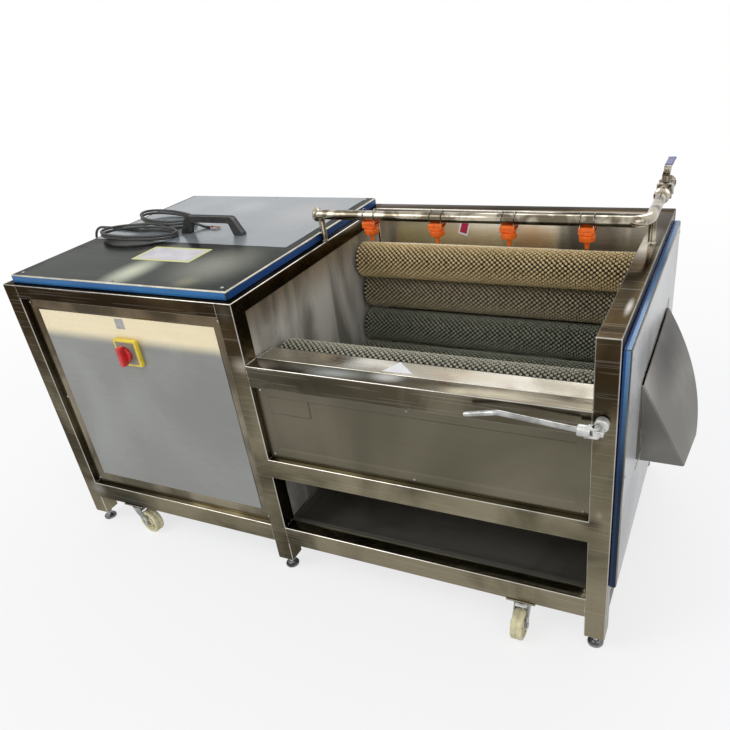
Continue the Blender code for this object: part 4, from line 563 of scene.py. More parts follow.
def makeSteel(name, dark, light, rough, blotch, grain, lines=900.0, edge=(0.75, 0.72, 0.66), useUv=False,
              metallic=1.0, scratch=0.0, bump=0.00006, spread=(0.35, 0.65), paintedLightSpots=(), paintedShade=None,
              streak=(1, 1, 1), edgeTint=1.0):
    # Stainless steel: soft dark and light patches (smudges, and on the big sheets painted reflections),
    # brushed lines, painted shade by height, spots of painted light and shade, worn edges with a painted
    # highlight and stray scratches
    material, tree, sockets = newMaterial(name, metallic=metallic, edgeTint=edgeTint)
    coordinates = addNode(tree, "TexCoord").outputs
    place = coordinates["Object"]
    stretched = addNode(tree, "Mapping", {"Vector": place, "Scale": streak}).outputs[0]
    patches = placeGroup(tree, softBlotches, stretched, Scale=blotch, Low=spread[0], High=spread[1])
    fine = placeGroup(tree, brushedGrain, coordinates["UV" if useUv else "Object"], Lines=lines, Length=9.0)
    colour = mixColours(tree, 1.0, mixColours(tree, patches, dark, light),
                        spreadValue(tree, fine, 1 - grain, 1 + grain), "MULTIPLY")
    # Painted shade by height
    if paintedShade:
        colour = addPaintedHeightShade(tree, place, colour, *paintedShade)
    # Spots of painted highlight, reflection and shade
    colour = addPaintedLight(tree, place, colour, paintedLightSpots)
    if scratch:
        faint = mathNode(tree, "MULTIPLY", placeGroup(tree, strayScratches, place, Scale=9.0, Limit=0.72),
                         scratch)
        colour = mixColours(tree, faint, colour, edge)
    # Worn edges with a painted highlight, in the edge colour
    wear = addNode(tree, "Attribute", attribute_name="wear").outputs["Fac"]
    wornAndHighlit = placeGroup(tree, edgeWearAndHighlight, place, Edge=wear, Scale=24.0, Amount=0.9)
    roughness = mathNode(tree, "ADD", spreadValue(tree, patches, rough[1], rough[0]),
                         spreadValue(tree, fine, -0.06, 0.06))
    finish(tree, sockets, mixColours(tree, wornAndHighlit, colour, edge), roughness, fine, bump)
    return material


def makePlastic(name, colour, second, rough, scale=40.0, **plain):
    # Moulded plastic, paint or rubber: slight patches of a second colour and a fine grain
    material, tree, sockets = newMaterial(name, **plain)
    place = addNode(tree, "TexCoord").outputs["Object"]
    patches = placeGroup(tree, softBlotches, place, Scale=scale, Low=0.3, High=0.7)
    fine = placeGroup(tree, softBlotches, place, Scale=700.0, Low=0.2, High=0.8)
    finish(tree, sockets, mixColours(tree, patches, colour, second), spreadValue(tree, patches, *rough), fine,
           0.0001)
    return material


def makeBristle(name, root, tip, second):
    # Bundled fibres: painted shade at the root, deep among the tufts, light and uneven at the tip, with fine
    # lines along each tuft
    material, tree, sockets = newMaterial(name)
    place = addNode(tree, "TexCoord").outputs["Object"]
    patches = placeGroup(tree, softBlotches, place, Scale=60.0, Low=0.25, High=0.75)
    height = addNode(tree, "Attribute", attribute_name="wear").outputs["Fac"]
    # Painted shade at the root, light at the tip
    colour = mixColours(tree, height, root, mixColours(tree, patches, tip, second))
    fibres = placeGroup(tree, softBlotches, place, Scale=1500.0, Low=0.2, High=0.8)
    finish(tree, sockets, colour, spreadValue(tree, patches, 0.55, 0.75), fibres, 0.0005)
    return material


def makeFilm(name, colour, second, warmReflectionBand=None, rough=(0.16, 0.34), ripple=0.0006, metallic=0.25, paintedLightSpots=(),
             lines=0.07, low=None, coat=0.25, specular=0.5):
    # Protective film: pale patches, faint wrinkles and, on request, a warm band of painted reflection under
    # an upright limit, painted shade by height and spots of painted light and shade
    material, tree, sockets = newMaterial(name, metallic=metallic, coat=coat, specular=specular)
    place = addNode(tree, "TexCoord").outputs["Object"]
    patches = placeGroup(tree, softBlotches, place, Scale=2.2, Low=0.3, High=0.7)
    tint = mixColours(tree, patches, colour, second)
    # Warm band of painted reflection
    if warmReflectionBand:
        height = addNode(tree, "SeparateXYZ", {0: place}).outputs[2]
        tint = mixColours(tree, smoothStep(tree, height, *warmReflectionBand[:2]), tint, warmReflectionBand[2])
    # Painted shade by height
    if low:
        tint = addPaintedHeightShade(tree, place, tint, *low)
    # Spots of painted light and shade
    tint = addPaintedLight(tree, place, tint, paintedLightSpots)
    fine = placeGroup(tree, brushedGrain, place, Lines=220.0, Length=9.0)
    tint = mixColours(tree, 1.0, tint, spreadValue(tree, fine, 1 - lines, 1 + lines), "MULTIPLY")
    wrinkles = placeGroup(tree, softBlotches, place, Scale=13.0, Low=0.25, High=0.8)
    finish(tree, sockets, tint, spreadValue(tree, patches, *rough), wrinkles, ripple, 0.5)
    return material


# Each steel: its dark and light patches, roughness, size of patches and grain; on the big sheets the patches
# are partly painted reflections
steels = {
    # Frame tube: the darker, browner top is a painted dark reflection, and the spots are painted reflections,
    # highlights and shade
    "frameTube": dict(
        dark=(0.07, 0.06, 0.038), light=(0.245, 0.215, 0.146), rough=(0.12, 0.28), blotch=3.4, grain=0.2,
        useUv=True, scratch=0.06, bump=0.00002, edgeTint=0.5, paintedShade=(0.52, 0.8, (0.46, 0.36, 0.27)), paintedLightSpots=(
            (1.652, -0.002, 0.402, 0.034, 0.03, 0.03, 0.045, 0.03, 0.018, 0.75),
            (1.668, -0.002, 0.43, 0.012, 0.02, 0.018, 0.36, 0.3, 0.22, 0.5),
            (0.055, 0.0, 0.15, 0.045, 0.04, 0.04, 0.4, 0.39, 0.36, 0.55),
            (0.19, 0.0, 0.125, 0.11, 0.04, 0.04, 0.045, 0.045, 0.042, 0.7),
            (0.79, 0.0, 0.69, 0.05, 0.05, 0.035, 0.5, 0.46, 0.38, 0.55),
            (1.66, 0.54, 0.857, 0.06, 0.16, 0.02, 0.8, 0.74, 0.62, 0.9),
            (1.668, 0.25, 0.857, 0.06, 0.24, 0.02, 0.022, 0.018, 0.012, 1.0),
            (1.682, 0.15, 0.857, 0.01, 0.06, 0.02, 0.6, 0.58, 0.54, 0.35),
            (0.4, -0.002, 0.83, 0.6, 0.03, 0.06, 0.022, 0.014, 0.008, 0.95),
            (0.77, -0.002, 0.83, 0.03, 0.03, 0.035, 0.085, 0.077, 0.06, 0.6),
            (1.67, 0.02, 0.857, 0.045, 0.06, 0.03, 0.03, 0.025, 0.018, 0.5),
            (0.77, 0.15, 0.857, 0.03, 0.08, 0.02, 0.22, 0.2, 0.16, 0.6),
            (0.77, 0.62, 0.857, 0.045, 0.16, 0.02, 0.64, 0.61, 0.55, 0.85))),
    # Loading rail: the bright spots on its top are painted highlights, the dark ones on its face painted
    # shade and the lever rod's painted shadow
    "loadingRail": dict(
        dark=(0.075, 0.064, 0.042), light=(0.155, 0.137, 0.097), rough=(0.12, 0.26), blotch=5.0, grain=0.12,
        useUv=True, scratch=0.08, edgeTint=0.7, paintedLightSpots=(
            (0.92, -0.002, 0.665, 0.26, 0.03, 0.05, 0.035, 0.029, 0.019, 0.8),
            (1.0, 0.03, 0.692, 0.16, 0.04, 0.012, 0.6, 0.64, 0.62, 0.9),
            (1.17, 0.035, 0.692, 0.06, 0.03, 0.012, 0.8, 0.84, 0.82, 0.8),
            (1.44, 0.03, 0.692, 0.17, 0.05, 0.012, 0.27, 0.245, 0.185, 0.8),
            (1.58, 0.02, 0.692, 0.12, 0.05, 0.012, 0.1, 0.088, 0.065, 0.8),
            (1.5, -0.002, 0.67, 0.2, 0.03, 0.05, 0.085, 0.072, 0.05, 0.7),
            (0.84, 0.02, 0.692, 0.05, 0.04, 0.012, 0.56, 0.53, 0.46, 0.7))),
    # Lid: its very dark colour is a painted dark reflection, the pale spots are painted reflections with a
    # bright streak, and the cream edge is the rim's painted highlight
    "lidSheet": dict(
        dark=(0.036, 0.041, 0.036), light=(0.07, 0.078, 0.069), rough=(0.2, 0.36), blotch=3.0, grain=0.08,
        scratch=0.04, bump=0.00001, edge=(0.8, 0.76, 0.64), edgeTint=0.6, paintedLightSpots=(
            (0.4, 0.1, 0.879, 0.075, 0.16, 0.02, 0.86, 0.9, 0.7, 0.9),
            (0.37, 0.27, 0.879, 0.11, 0.07, 0.02, 0.42, 0.37, 0.33, 0.6),
            (0.62, 0.18, 0.879, 0.16, 0.2, 0.02, 0.37, 0.38, 0.32, 0.9),
            (0.62, 0.06, 0.879, 0.05, 0.05, 0.02, 0.5, 0.46, 0.3, 0.4))),
    # Tub front panel: the pale spot on its left is a painted reflection
    "panelSheet": dict(
        dark=(0.1, 0.09, 0.062), light=(0.172, 0.156, 0.113), rough=(0.2, 0.34), blotch=1.6, grain=0.1,
        lines=600.0, paintedLightSpots=((0.88, 0.01, 0.54, 0.25, 0.05, 0.16, 0.185, 0.163, 0.122, 0.7),)),
    # Panel border: darker and browner towards the top, as painted shade
    "panelBorder": dict(
        dark=(0.1, 0.086, 0.058), light=(0.25, 0.22, 0.16), rough=(0.16, 0.3), blotch=5.0, grain=0.15,
        paintedShade=(0.52, 0.8, (0.62, 0.52, 0.42))),
    # Tub walls: the upright streaks mix film remnants with painted reflections, and the darker, browner top
    # is painted shade
    "tubWallSheet": dict(
        dark=(0.25, 0.235, 0.205), light=(0.74, 0.71, 0.65), rough=(0.4, 0.56), blotch=7.0, grain=0.08,
        scratch=0.1, metallic=0.35, streak=(1.0, 1.0, 0.28), spread=(0.38, 0.6),
        paintedShade=(0.7, 0.82, (0.48, 0.4, 0.3))),
    # Rear sheet: its upright dark and bright streaks and its spots are painted reflections
    "rearSheet": dict(
        dark=(0.115, 0.108, 0.088), light=(0.78, 0.74, 0.64), rough=(0.18, 0.3), blotch=2.6, grain=0.06,
        spread=(0.44, 0.56), streak=(1.0, 1.0, 0.3), paintedLightSpots=(
            (0.94, 0.789, 0.79, 0.12, 0.05, 0.1, 0.6, 0.64, 0.54, 0.9),
            (1.3, 0.789, 0.78, 0.1, 0.05, 0.09, 0.62, 0.36, 0.18, 0.6),
            (1.5, 0.789, 0.78, 0.1, 0.05, 0.09, 0.3, 0.24, 0.19, 0.6))),
    # Apron: its spots are painted reflections
    "apronSheet": dict(
        dark=(0.4, 0.375, 0.305), light=(0.8, 0.76, 0.66), rough=(0.12, 0.26), blotch=4.2, grain=0.1,
        scratch=0.08, spread=(0.4, 0.62), paintedLightSpots=(
            (1.34, 0.09, 0.688, 0.16, 0.05, 0.02, 0.62, 0.52, 0.36, 0.6),
            (1.58, 0.09, 0.688, 0.14, 0.05, 0.02, 0.3, 0.26, 0.19, 0.7),
            (1.05, 0.08, 0.688, 0.1, 0.05, 0.02, 0.66, 0.68, 0.64, 0.5))),
    "traySheet": dict(
        dark=(0.085, 0.08, 0.066), light=(0.165, 0.156, 0.134), rough=(0.36, 0.55), blotch=3.0, grain=0.15,
        scratch=0.05, metallic=0.5),
    # Chute: the dark spot at its top, by the cover, is painted shade
    "chuteSheet": dict(
        dark=(0.17, 0.165, 0.15), light=(0.27, 0.26, 0.24), rough=(0.26, 0.4), blotch=2.6, grain=0.1,
        lines=500.0, bump=0.00002, paintedLightSpots=((1.745, 0.5, 0.615, 0.12, 0.3, 0.11, 0.03, 0.028, 0.024, 1.0),)),
    "polishedPipe": dict(
        dark=(0.15, 0.125, 0.088), light=(0.5, 0.45, 0.36), rough=(0.07, 0.16), blotch=16.0, grain=0.05,
        useUv=True, lines=300.0, spread=(0.42, 0.58)),
    "castSteel": dict(
        dark=(0.5, 0.5, 0.48), light=(0.68, 0.68, 0.66), rough=(0.34, 0.5), blotch=60.0, grain=0.05,
        metallic=0.7, bump=0.0002),
    "zincPlate": dict(
        dark=(0.26, 0.26, 0.25), light=(0.48, 0.48, 0.47), rough=(0.26, 0.42), blotch=30.0, grain=0.1,
        metallic=0.9),
    "springWire": dict(
        dark=(0.13, 0.12, 0.1), light=(0.3, 0.28, 0.25), rough=(0.2, 0.3), blotch=60.0, grain=0.05),
    "weldBead": dict(
        dark=(0.22, 0.2, 0.17), light=(0.52, 0.48, 0.42), rough=(0.2, 0.4), blotch=160.0, grain=0.05,
        bump=0.0004)}
films = {
    # Lid film: its pale spots are painted reflections
    "lidFilm": dict(colour=(0.19, 0.22, 0.242), second=(0.232, 0.256, 0.274), paintedLightSpots=(
        (0.62, 0.64, 0.879, 0.16, 0.24, 0.02, 0.33, 0.325, 0.325, 0.85),
        (0.36, 0.7, 0.879, 0.1, 0.12, 0.02, 0.38, 0.4, 0.41, 0.5))),
    # Front film: the warm band at its top is a painted reflection
    "frontFilm": dict(colour=(0.215, 0.217, 0.202), second=(0.285, 0.292, 0.275), rough=(0.2, 0.36),
                      warmReflectionBand=(0.69, 0.73, (0.86, 0.75, 0.5))),
    # End film: the darker spot low at the front is painted shade
    "endFilm": dict(colour=(0.25, 0.255, 0.265), second=(0.46, 0.465, 0.475), metallic=0.35, lines=0.22,
                    coat=0.05, specular=0.25,
                    paintedLightSpots=((1.711, 0.09, 0.353, 0.03, 0.25, 0.2, 0.22, 0.23, 0.24, 0.8),)),
    "blueFilm": dict(colour=(0.01, 0.095, 0.29), second=(0.026, 0.165, 0.4), ripple=0.0004, metallic=0.2,
                     lines=0.35, coat=0.1, specular=0.3),
    # Azure film: darker, deeper blue towards the bottom, as painted shade
    "azureFilm": dict(colour=(0.05, 0.17, 0.36), second=(0.14, 0.29, 0.5), ripple=0.0003, metallic=0.2,
                      lines=0.25, low=(0.84, 0.5, (0.025, 0.075, 0.11)), coat=0.03, specular=0.2),
    # Blue film darkened as painted shade, and darker still towards the bottom
    "shadedBlueFilm": dict(colour=(0.01, 0.05, 0.17), second=(0.028, 0.095, 0.32), ripple=0.0004, metallic=0.2,
                         lines=0.25, low=(0.78, 0.44, (0.55, 0.45, 0.38)), coat=0.03, specular=0.2),
    "sideFilm": dict(colour=(0.28, 0.29, 0.3), second=(0.4, 0.41, 0.41))}
# The root colour is painted shade, deep among the tufts
bristles = {  # root, tip and second colour of the tip
    "tanBristle": ((0.1, 0.075, 0.035), (0.9, 0.71, 0.38), (0.7, 0.53, 0.26)),
    "khakiBristle": ((0.06, 0.05, 0.03), (0.56, 0.47, 0.3), (0.4, 0.34, 0.22)),
    "oliveBristle": ((0.035, 0.036, 0.026), (0.36, 0.37, 0.27), (0.25, 0.26, 0.2)),
    "greyBristle": ((0.05, 0.05, 0.038), (0.5, 0.48, 0.37), (0.38, 0.37, 0.29))}
plastics = {  # colour, second colour, roughness, size of patches
    "blackNylon": ((0.012, 0.012, 0.012), (0.03, 0.029, 0.027), (0.34, 0.5)),
    "cordSheath": ((0.018, 0.017, 0.017), (0.045, 0.042, 0.04), (0.4, 0.6), 25.0),
    "orangeMoulding": ((0.93, 0.17, 0.008), (0.8, 0.11, 0.006), (0.3, 0.45), 60.0),
    "redKnob": ((0.62, 0.012, 0.016), (0.48, 0.01, 0.012), (0.25, 0.4)),
    "yellowPlate": ((0.86, 0.66, 0.05), (0.74, 0.55, 0.04), (0.3, 0.45)),
    "greyCollar": ((0.28, 0.25, 0.2), (0.2, 0.18, 0.15), (0.4, 0.55)),
    "blueSleeve": ((0.008, 0.022, 0.14), (0.014, 0.04, 0.22), (0.3, 0.45)),
    "creamNylon": ((0.72, 0.67, 0.42), (0.52, 0.48, 0.3), (0.35, 0.55), 30.0),
    "footSteel": ((0.1, 0.1, 0.1), (0.26, 0.26, 0.27), (0.3, 0.5), 60.0),
    "brushCore": ((0.045, 0.04, 0.028), (0.025, 0.022, 0.016), (0.6, 0.8)),
    "whitePaper": ((0.8, 0.8, 0.8), (0.72, 0.72, 0.74), (0.5, 0.6), 20.0),
    "lavenderLabel": ((0.5, 0.47, 0.52), (0.6, 0.58, 0.6), (0.3, 0.4), 25.0),
    "yellowEdge": ((0.62, 0.62, 0.22), (0.55, 0.55, 0.2), (0.3, 0.4), 25.0),
    "redLabel": ((0.52, 0.02, 0.07), (0.42, 0.02, 0.06), (0.3, 0.4), 60.0),
    "etchedPlacard": ((0.07, 0.065, 0.05), (0.11, 0.1, 0.08), (0.3, 0.42), 30.0),
    "greyLabel": ((0.4, 0.4, 0.38), (0.3, 0.3, 0.29), (0.3, 0.4), 60.0),
    "motorEnamel": ((0.03, 0.1, 0.24), (0.05, 0.14, 0.3), (0.35, 0.5)),
    "earthWire": ((0.35, 0.45, 0.04), (0.6, 0.55, 0.05), (0.4, 0.5), 120.0),
    "brownWire": ((0.3, 0.07, 0.03), (0.22, 0.05, 0.025), (0.4, 0.5)),
    "redWire": ((0.62, 0.08, 0.04), (0.5, 0.06, 0.03), (0.4, 0.5)),
    "paleWire": ((0.62, 0.55, 0.45), (0.5, 0.44, 0.36), (0.4, 0.5))}
plasticSockets = {"orangeMoulding": {"subsurface": 0.05}, "redKnob": {"coat": 0.3},
                  "yellowPlate": {"coat": 0.2}, "footSteel": {"metallic": 0.8},
                  "etchedPlacard": {"metallic": 0.6}, "motorEnamel": {"coat": 0.3}}
finishes = {name: makeSteel(name, **values) for name, values in steels.items()}
finishes.update({name: makeFilm(name, **values) for name, values in films.items()})
finishes.update({name: makeBristle(name, *values) for name, values in bristles.items()})
finishes.update({name: makePlastic(name, *values, **plasticSockets.get(name, {}))
                 for name, values in plastics.items()})
print("finishes made:", len(finishes))


# Cord: out of its gland, over the lid's edge, and wound in a hank that is folded at the handle

cordValues = {
    "radius": 0.004, "level": 0.8834, "start": (-0.0106, 0.43, 0.8), "straight": 0.024,
    "onCover": ((-0.01, 0.43), (0.015, 0.4285), (0.04, 0.426), (0.065, 0.4235), (0.09, 0.4215)),
    "lead": ((0.108, 0.419), (0.128, 0.4165)),
    "lobes": (((0.188, 0.364), 0.132, 0.058, 6.0, 105.0, -1),
              ((0.172, 0.516), 0.126, 0.058, -16.0, -38.0, 1)),
    "crossing": ((0.166, 0.4205, 0.0184), (0.184, 0.4265, 0.0178), (0.202, 0.4325, 0.0141),
                 (0.22, 0.439, 0.0074), (0.238, 0.4462, 0.0016)),
    "tail": ((0.2755, 0.46, 0.0184), (0.2935, 0.464, 0.0181), (0.3115, 0.4665, 0.0151),
             (0.329, 0.4675, 0.0096), (0.347, 0.468, 0.0041), (0.364, 0.468, 0.0004), (0.378, 0.468, 0.0)),
    "rise": 0.009, "turns": 2, "steps": 24,
    "wires": {"earthWire": ((0.01, 0.004, 0.001), (0.03, 0.012, -0.001)),
              "brownWire": ((0.012, 0.0, 0.004), (0.036, -0.002, -0.0005)),
              "redWire": ((0.01, -0.004, 0.001), (0.03, -0.013, -0.001)),
              "paleWire": ((0.011, 0.001, 0.002), (0.04, 0.006, -0.001))},
    "gland": (0.0157, 0.43, 0.8), "wireRadius": 0.0013, "upright": (50, 20)}


def lobeTurns(lobe, values):
    # An ellipse walked round twice; each turn climbs one rise, smoothly between its shares 0.3 and 0.65
    (x, y), along, across, tilt, start, way = lobe
    turn = np.arange(values["turns"] * values["steps"] + 1) / values["steps"]
    angle = math.radians(start) + way * 2 * np.pi * turn
    a, b = along * np.cos(angle), across * np.sin(angle)
    whole = np.minimum(np.floor(turn), values["turns"] - 1)
    climb = np.clip((turn - whole - 0.3) / 0.35, 0, 1)
    height = values["level"] + values["rise"] * (whole + climb * climb * (3 - 2 * climb))
    cosine, sine = math.cos(math.radians(tilt)), math.sin(math.radians(tilt))
    return np.stack([x + a * cosine - b * sine, y + a * sine + b * cosine, height], 1)


def cordRoute(values):
    # Straight out, a half circle up, along the lid, round both lobes and down to the free end
    x, y, z = values["start"]
    bend = (values["level"] - z) / 2
    angle = np.pi * np.arange(11) / 10
    archX = x - values["straight"] - bend * np.sin(angle)
    arch = np.stack([archX, np.full(11, y), z + bend * (1 - np.cos(angle))], 1)
    level = [[a, b, values["level"]] for a, b in values["onCover"] + values["lead"]]
    cross, tail = ([[a, b, values["level"] + c] for a, b, c in values[key]] for key in ("crossing", "tail"))
    front, rear = (lobeTurns(lobe, values) for lobe in values["lobes"])
    points = np.vstack([[[x, y, z], [x - values["straight"] / 2, y, z]], arch, level, front, cross, rear,
                        tail])
    return smoothRoute(points, 0.004)


def makeCord():
    values = cordValues
    route = cordRoute(values)
    # The cord's first bend is upright and its hank level, so the ring's upright turns from y to z in between
    first, steps = values["upright"]
    share = np.clip((np.arange(len(route)) - first) / steps, 0, 1)[:, None]
    part = tubeShell(route, values["radius"], 12, (1 - share) * yWay + share * zWay)
    wires, tip = [], route[-1]
    for name, (middle, end) in values["wires"].items():
        offset = np.array(middle) * (0, 0.35, 0.35)
        path = [tip + offset - (0.002, 0, 0), tip + offset + (0.004, 0, 0), tip + middle, tip + end]
        path = smoothRoute(path, 0.002)
        path[:, 2] = np.maximum(path[:, 2], machine["lidTop"] + 0.0016)
        wires.append(makePiece("cord_" + name, name, "black", [tubeShell(path, values["wireRadius"], 8)]))
    cord = makePiece("mainsCord", "cordSheath", "black", [part], node="power_cord cord_hank")
    # Tapered gland with a ribbed nut
    profile = mm(0, 12.5, 5.5, 12.5, 6.8, 11.5, 7.5, 10.5, 12, 10.5, 12.5, 9.8, 13.5, 9.8, 14, 10.5, 18, 10.5,
                 20, 9, 26, 6.2)
    rib = block((-0.0128, 0, 0.0108), (10.4, 1.8, 1.6), 0.4, 1)
    ribs = [moved(rib, turnAbout(xWay, 30 * i), values["gland"]) for i in range(12)]
    makePiece("glandNut", "blackNylon", "black", [turnedShell(profile, values["gland"], -xWay)] + ribs,
              node="cord_gland")


makeCord()


# Frame: welded square tube, each run a rounded box that reaches under its neighbour's rounded edge

frameValues = {"plates": (0.194, 1.486), "beadRadius": 0.0016, "beadStep": 0.0022}


def makeFrame():
    m = machine
    t, r = m["tube"], m["roundness"]
    reach, back, middle, right = 2 * r, m["depth"] - t, m["cabinet"] - t, m["length"] - t
    top, height, low, lowTop = m["topRail"], m["height"], m["lowRail"], m["lowRailTop"]

    def bay(x):
        # Two posts, and the two rails that run back between them
        posts = [boxShell((x, y, m["legEnd"]), (x + t, y + t, height), r) for y in (0, back)]
        return posts + [boxShell((x, t - reach, start), (x + t, back + reach, end), r)
                        for start, end in ((top, height), (low, lowTop))]

    def run(y, start, end, low, high):
        return boxShell((start - reach, y, low), (end + reach, y + t, high), r)

    cabinet, tub = bay(0), bay(right) + [run(back, m["cabinet"], right, top, height)]
    for y in (0, back):
        cabinet += [run(y, t, middle, top, height), run(y, t, middle, low, lowTop)]
        tub += [run(y, m["cabinet"], right, start, end)
                for start, end in ((m["shelfRail"], m["shelfRailTop"]), (low, lowTop))]
    for group, x in zip((cabinet, tub), frameValues["plates"]):
        for y in (t / 2, m["depth"] - t / 2):
            group += [block((x, y, 0.107), (76, 56, 4), 1),
                      turned((x, y, 0.098), zWay, 32, 0, 23.5, 1, 25, 3, 25, 3.5, 23.5, 4.5, 23.5, 5, 25, 7.5,
                             25)]
            group += [turned((x + dx, y + dy, 0.101), zWay, 6, 0, 4.2, 3, 5.2, 4.5, 5.2)
                      for dx in (-0.028, 0.028) for dy in (-0.019, 0.019)]
    for name, group in (("cabinet", cabinet), ("middle", bay(middle)), ("tub", tub)):
        makePiece(name + "Tubes", "frameTube", "stainless", group, node=name + "_frame")
    rail = run(0, m["cabinet"], right, m["tubRail"], m["tubRailTop"])
    makePiece("loadingRail", "loadingRail", "stainless", [rail])

    beads = []

    def bead(start, end, radius=frameValues["beadRadius"]):
        # A weld bead: its radius is a ripple, one plus 0.22 sine, and falls off towards its ends
        start, end = np.array(start, float), np.array(end, float)
        count = max(int(np.linalg.norm(end - start) / frameValues["beadStep"]), 4)
        shares = np.linspace(0, 1, count)
        ripple = radius * (1 + 0.22 * np.sin(np.arange(count) * 2.1))
        ripple = ripple * np.clip(4 * np.sin(np.pi * (0.02 + 0.96 * shares)), 0.2, 1)
        upright = zWay if abs(end[2] - start[2]) < 1e-6 else yWay
        beads.append(tubeShell(start + (end - start) * shares[:, None], ripple, 8, upright))

    tubRail, tubRailTop, shelf = m["tubRail"], m["tubRailTop"], m["shelfRail"]
    for left, end, y, heights in ((t, middle, 0, (top, lowTop)), (t, middle, back, (top, lowTop)),
                                  (m["cabinet"], right, 0,
                                   (tubRailTop, tubRail, m["shelfRailTop"], shelf, lowTop)),
                                  (m["cabinet"], right, back, (top, shelf, lowTop))):
        for z in heights:
            for x in (left, end):
                bead((x, y + 0.002, z), (x, y + t - 0.002, z))
    for xs, start, end in (((t, middle, m["cabinet"], right), low + 0.003, lowTop - 0.002),
                           ((t, middle), top + 0.002, height - 0.003),
                           ((m["cabinet"], right), tubRail + 0.002, tubRailTop - 0.003)):
        for x in xs:
            bead((x, 0.0004, start), (x, 0.0004, end), 0.0009)
    makePiece("weldBeads", "weldBead", "stainless", beads)
    print("frame made")


makeFrame()


# Panels: a sheet with a flat border and a field set back, and the film that is still on some of them

panelValues = {"gap": 0.0003, "border": 0.03, "step": 0.004, "sheet": 0.002, "soft": 0.0008,
               "filmInset": 0.036, "filmDepth": 0.0039}


def panelShell(low, high, place):
    # From the middle of the back, round the edge, to the middle of the front
    border, step, sheet, soft = (panelValues[key] for key in ("border", "step", "sheet", "soft"))
    steps = ((border + step, step + sheet), (border, sheet), (soft, sheet), (0, sheet - soft), (0, soft),
             (soft, 0), (border - soft, 0), (border, soft * 0.4), (border + step, step - soft * 0.3),
             (border + step + soft, step))
    return stackShell([((low[0] + inset, low[1] + inset), (high[0] - inset, high[1] - inset), 0.0015, depth)
                       for inset, depth in steps], place)


def makePanels():
    m, v = machine, panelValues
    t, gap, inset = m["tube"], v["gap"], v["filmInset"]
    lowZ, highZ = m["lowRailTop"] + gap, m["topRail"] - gap
    right, deep = m["cabinet"] - t - gap, m["depth"] - t
    front = facing(1, m["setBack"])
    rear, left = facing(1, m["depth"] - m["setBack"], -1), facing(0, m["setBack"])
    for name, place, end, slot in (("front", front, right, "film"), ("rear", rear, right, "sheet"),
                                   ("left", left, deep - gap, "sheet")):
        sheet = panelShell((t + gap, lowZ), (end, highZ), place)
        makePiece(f"cabinet{name.title()}Panel", "panelBorder", slot, [sheet], node=f"cabinet_{name}_panel")
    low, high = (m["cabinet"] + gap, m["shelfRailTop"] + gap), (m["length"] - t - gap, m["tubRail"] - gap)
    makePiece("tubFrontPanel", "panelSheet", "stainless", [panelShell(low, high, front)],
              node="tub_front_panel")
    for name, place, end, finish, seed in (("front", front, right, "frontFilm", 1.0),
                                           ("rear", rear, right, "sideFilm", 1.7),
                                           ("left", left, deep, "sideFilm", 0.6)):
        film = filmShell((t + inset, lowZ + inset), (end - inset, highZ - inset), place, v["filmDepth"],
                         seed=seed)
        makePiece(name + "PanelFilm", finish, "film", [film])


lidValues = {"low": (0.026, 0.017), "high": (0.775, 0.825), "base": 0.8563, "sheet": 0.002,
             "filmStart": 0.333}


def makeLid():
    # A folded pan: its rounded rim, and a hem under each flange
    (left, front), (right, rear) = lidValues["low"], lidValues["high"]
    base, sheet, top = lidValues["base"], lidValues["sheet"], machine["lidTop"]
    depths = (  # inset, height, corner
        (0.04, top - sheet, 0.004), (sheet + 0.001, top - sheet, 0.003), (sheet, top - sheet - 0.001, 0.003),
        (sheet, base, 0.003), (0.0006, base, 0.003), (0, base + 0.0006, 0.003), (0, top - 0.004, 0.003),
        (0, top - 0.0022, 0.003), (0.0007, top - 0.0007, 0.003), (0.0022, top, 0.003), (0.0034, top, 0.003),
        (0.0045, top, 0.003), (0.04, top, 0.004))
    rows = [((left + inset, front + inset), (right - inset, rear - inset), corner, height)
            for inset, height, corner in depths]
    # The top of the rim is painted bright: a worn edge with a painted highlight
    makePiece("lidPan", "lidSheet", "film", [stackShell(rows, facing(2), wornAndHighlit=(7, 8, 9, 10))],
              node="top_cover")
    # The film starts on a straight edge a third of the way back, and stops short of the right edge
    sheet = filmShell((left + 0.012, lidValues["filmStart"]), (right - 0.03, rear - 0.006),
                      facing(2, top, -1), -0.00005, 0.0005, 48, 48, 1.2)
    makePiece("lidFilm", "lidFilm", "film", [sheet])
    # Coloured film left on the four flanges, its upper edge cut just under the rim; on the right and back
    # flanges the blue is darkened as painted shade
    for name, finish, place, start, end in (
            ("Front", "blueFilm", facing(1, front), left + 0.004, right - 0.003),
            ("Right", "shadedBlueFilm", facing(0, right, -1), front + 0.003, rear - 0.004),
            ("Back", "shadedBlueFilm", facing(1, rear, -1), left + 0.004, right - 0.004),
            ("Left", "blueFilm", facing(0, left), front + 0.004, rear - 0.004)):
        strip = filmShell((start, base + 0.0016), (end, top - 0.0036), place, -0.00005, 0.0003, 40, 4)
        makePiece("lidFilm" + name, finish, "film", [strip])


handleValues = {"place": (0.4285, 0.421), "width": 0.02, "screws": 0.105}


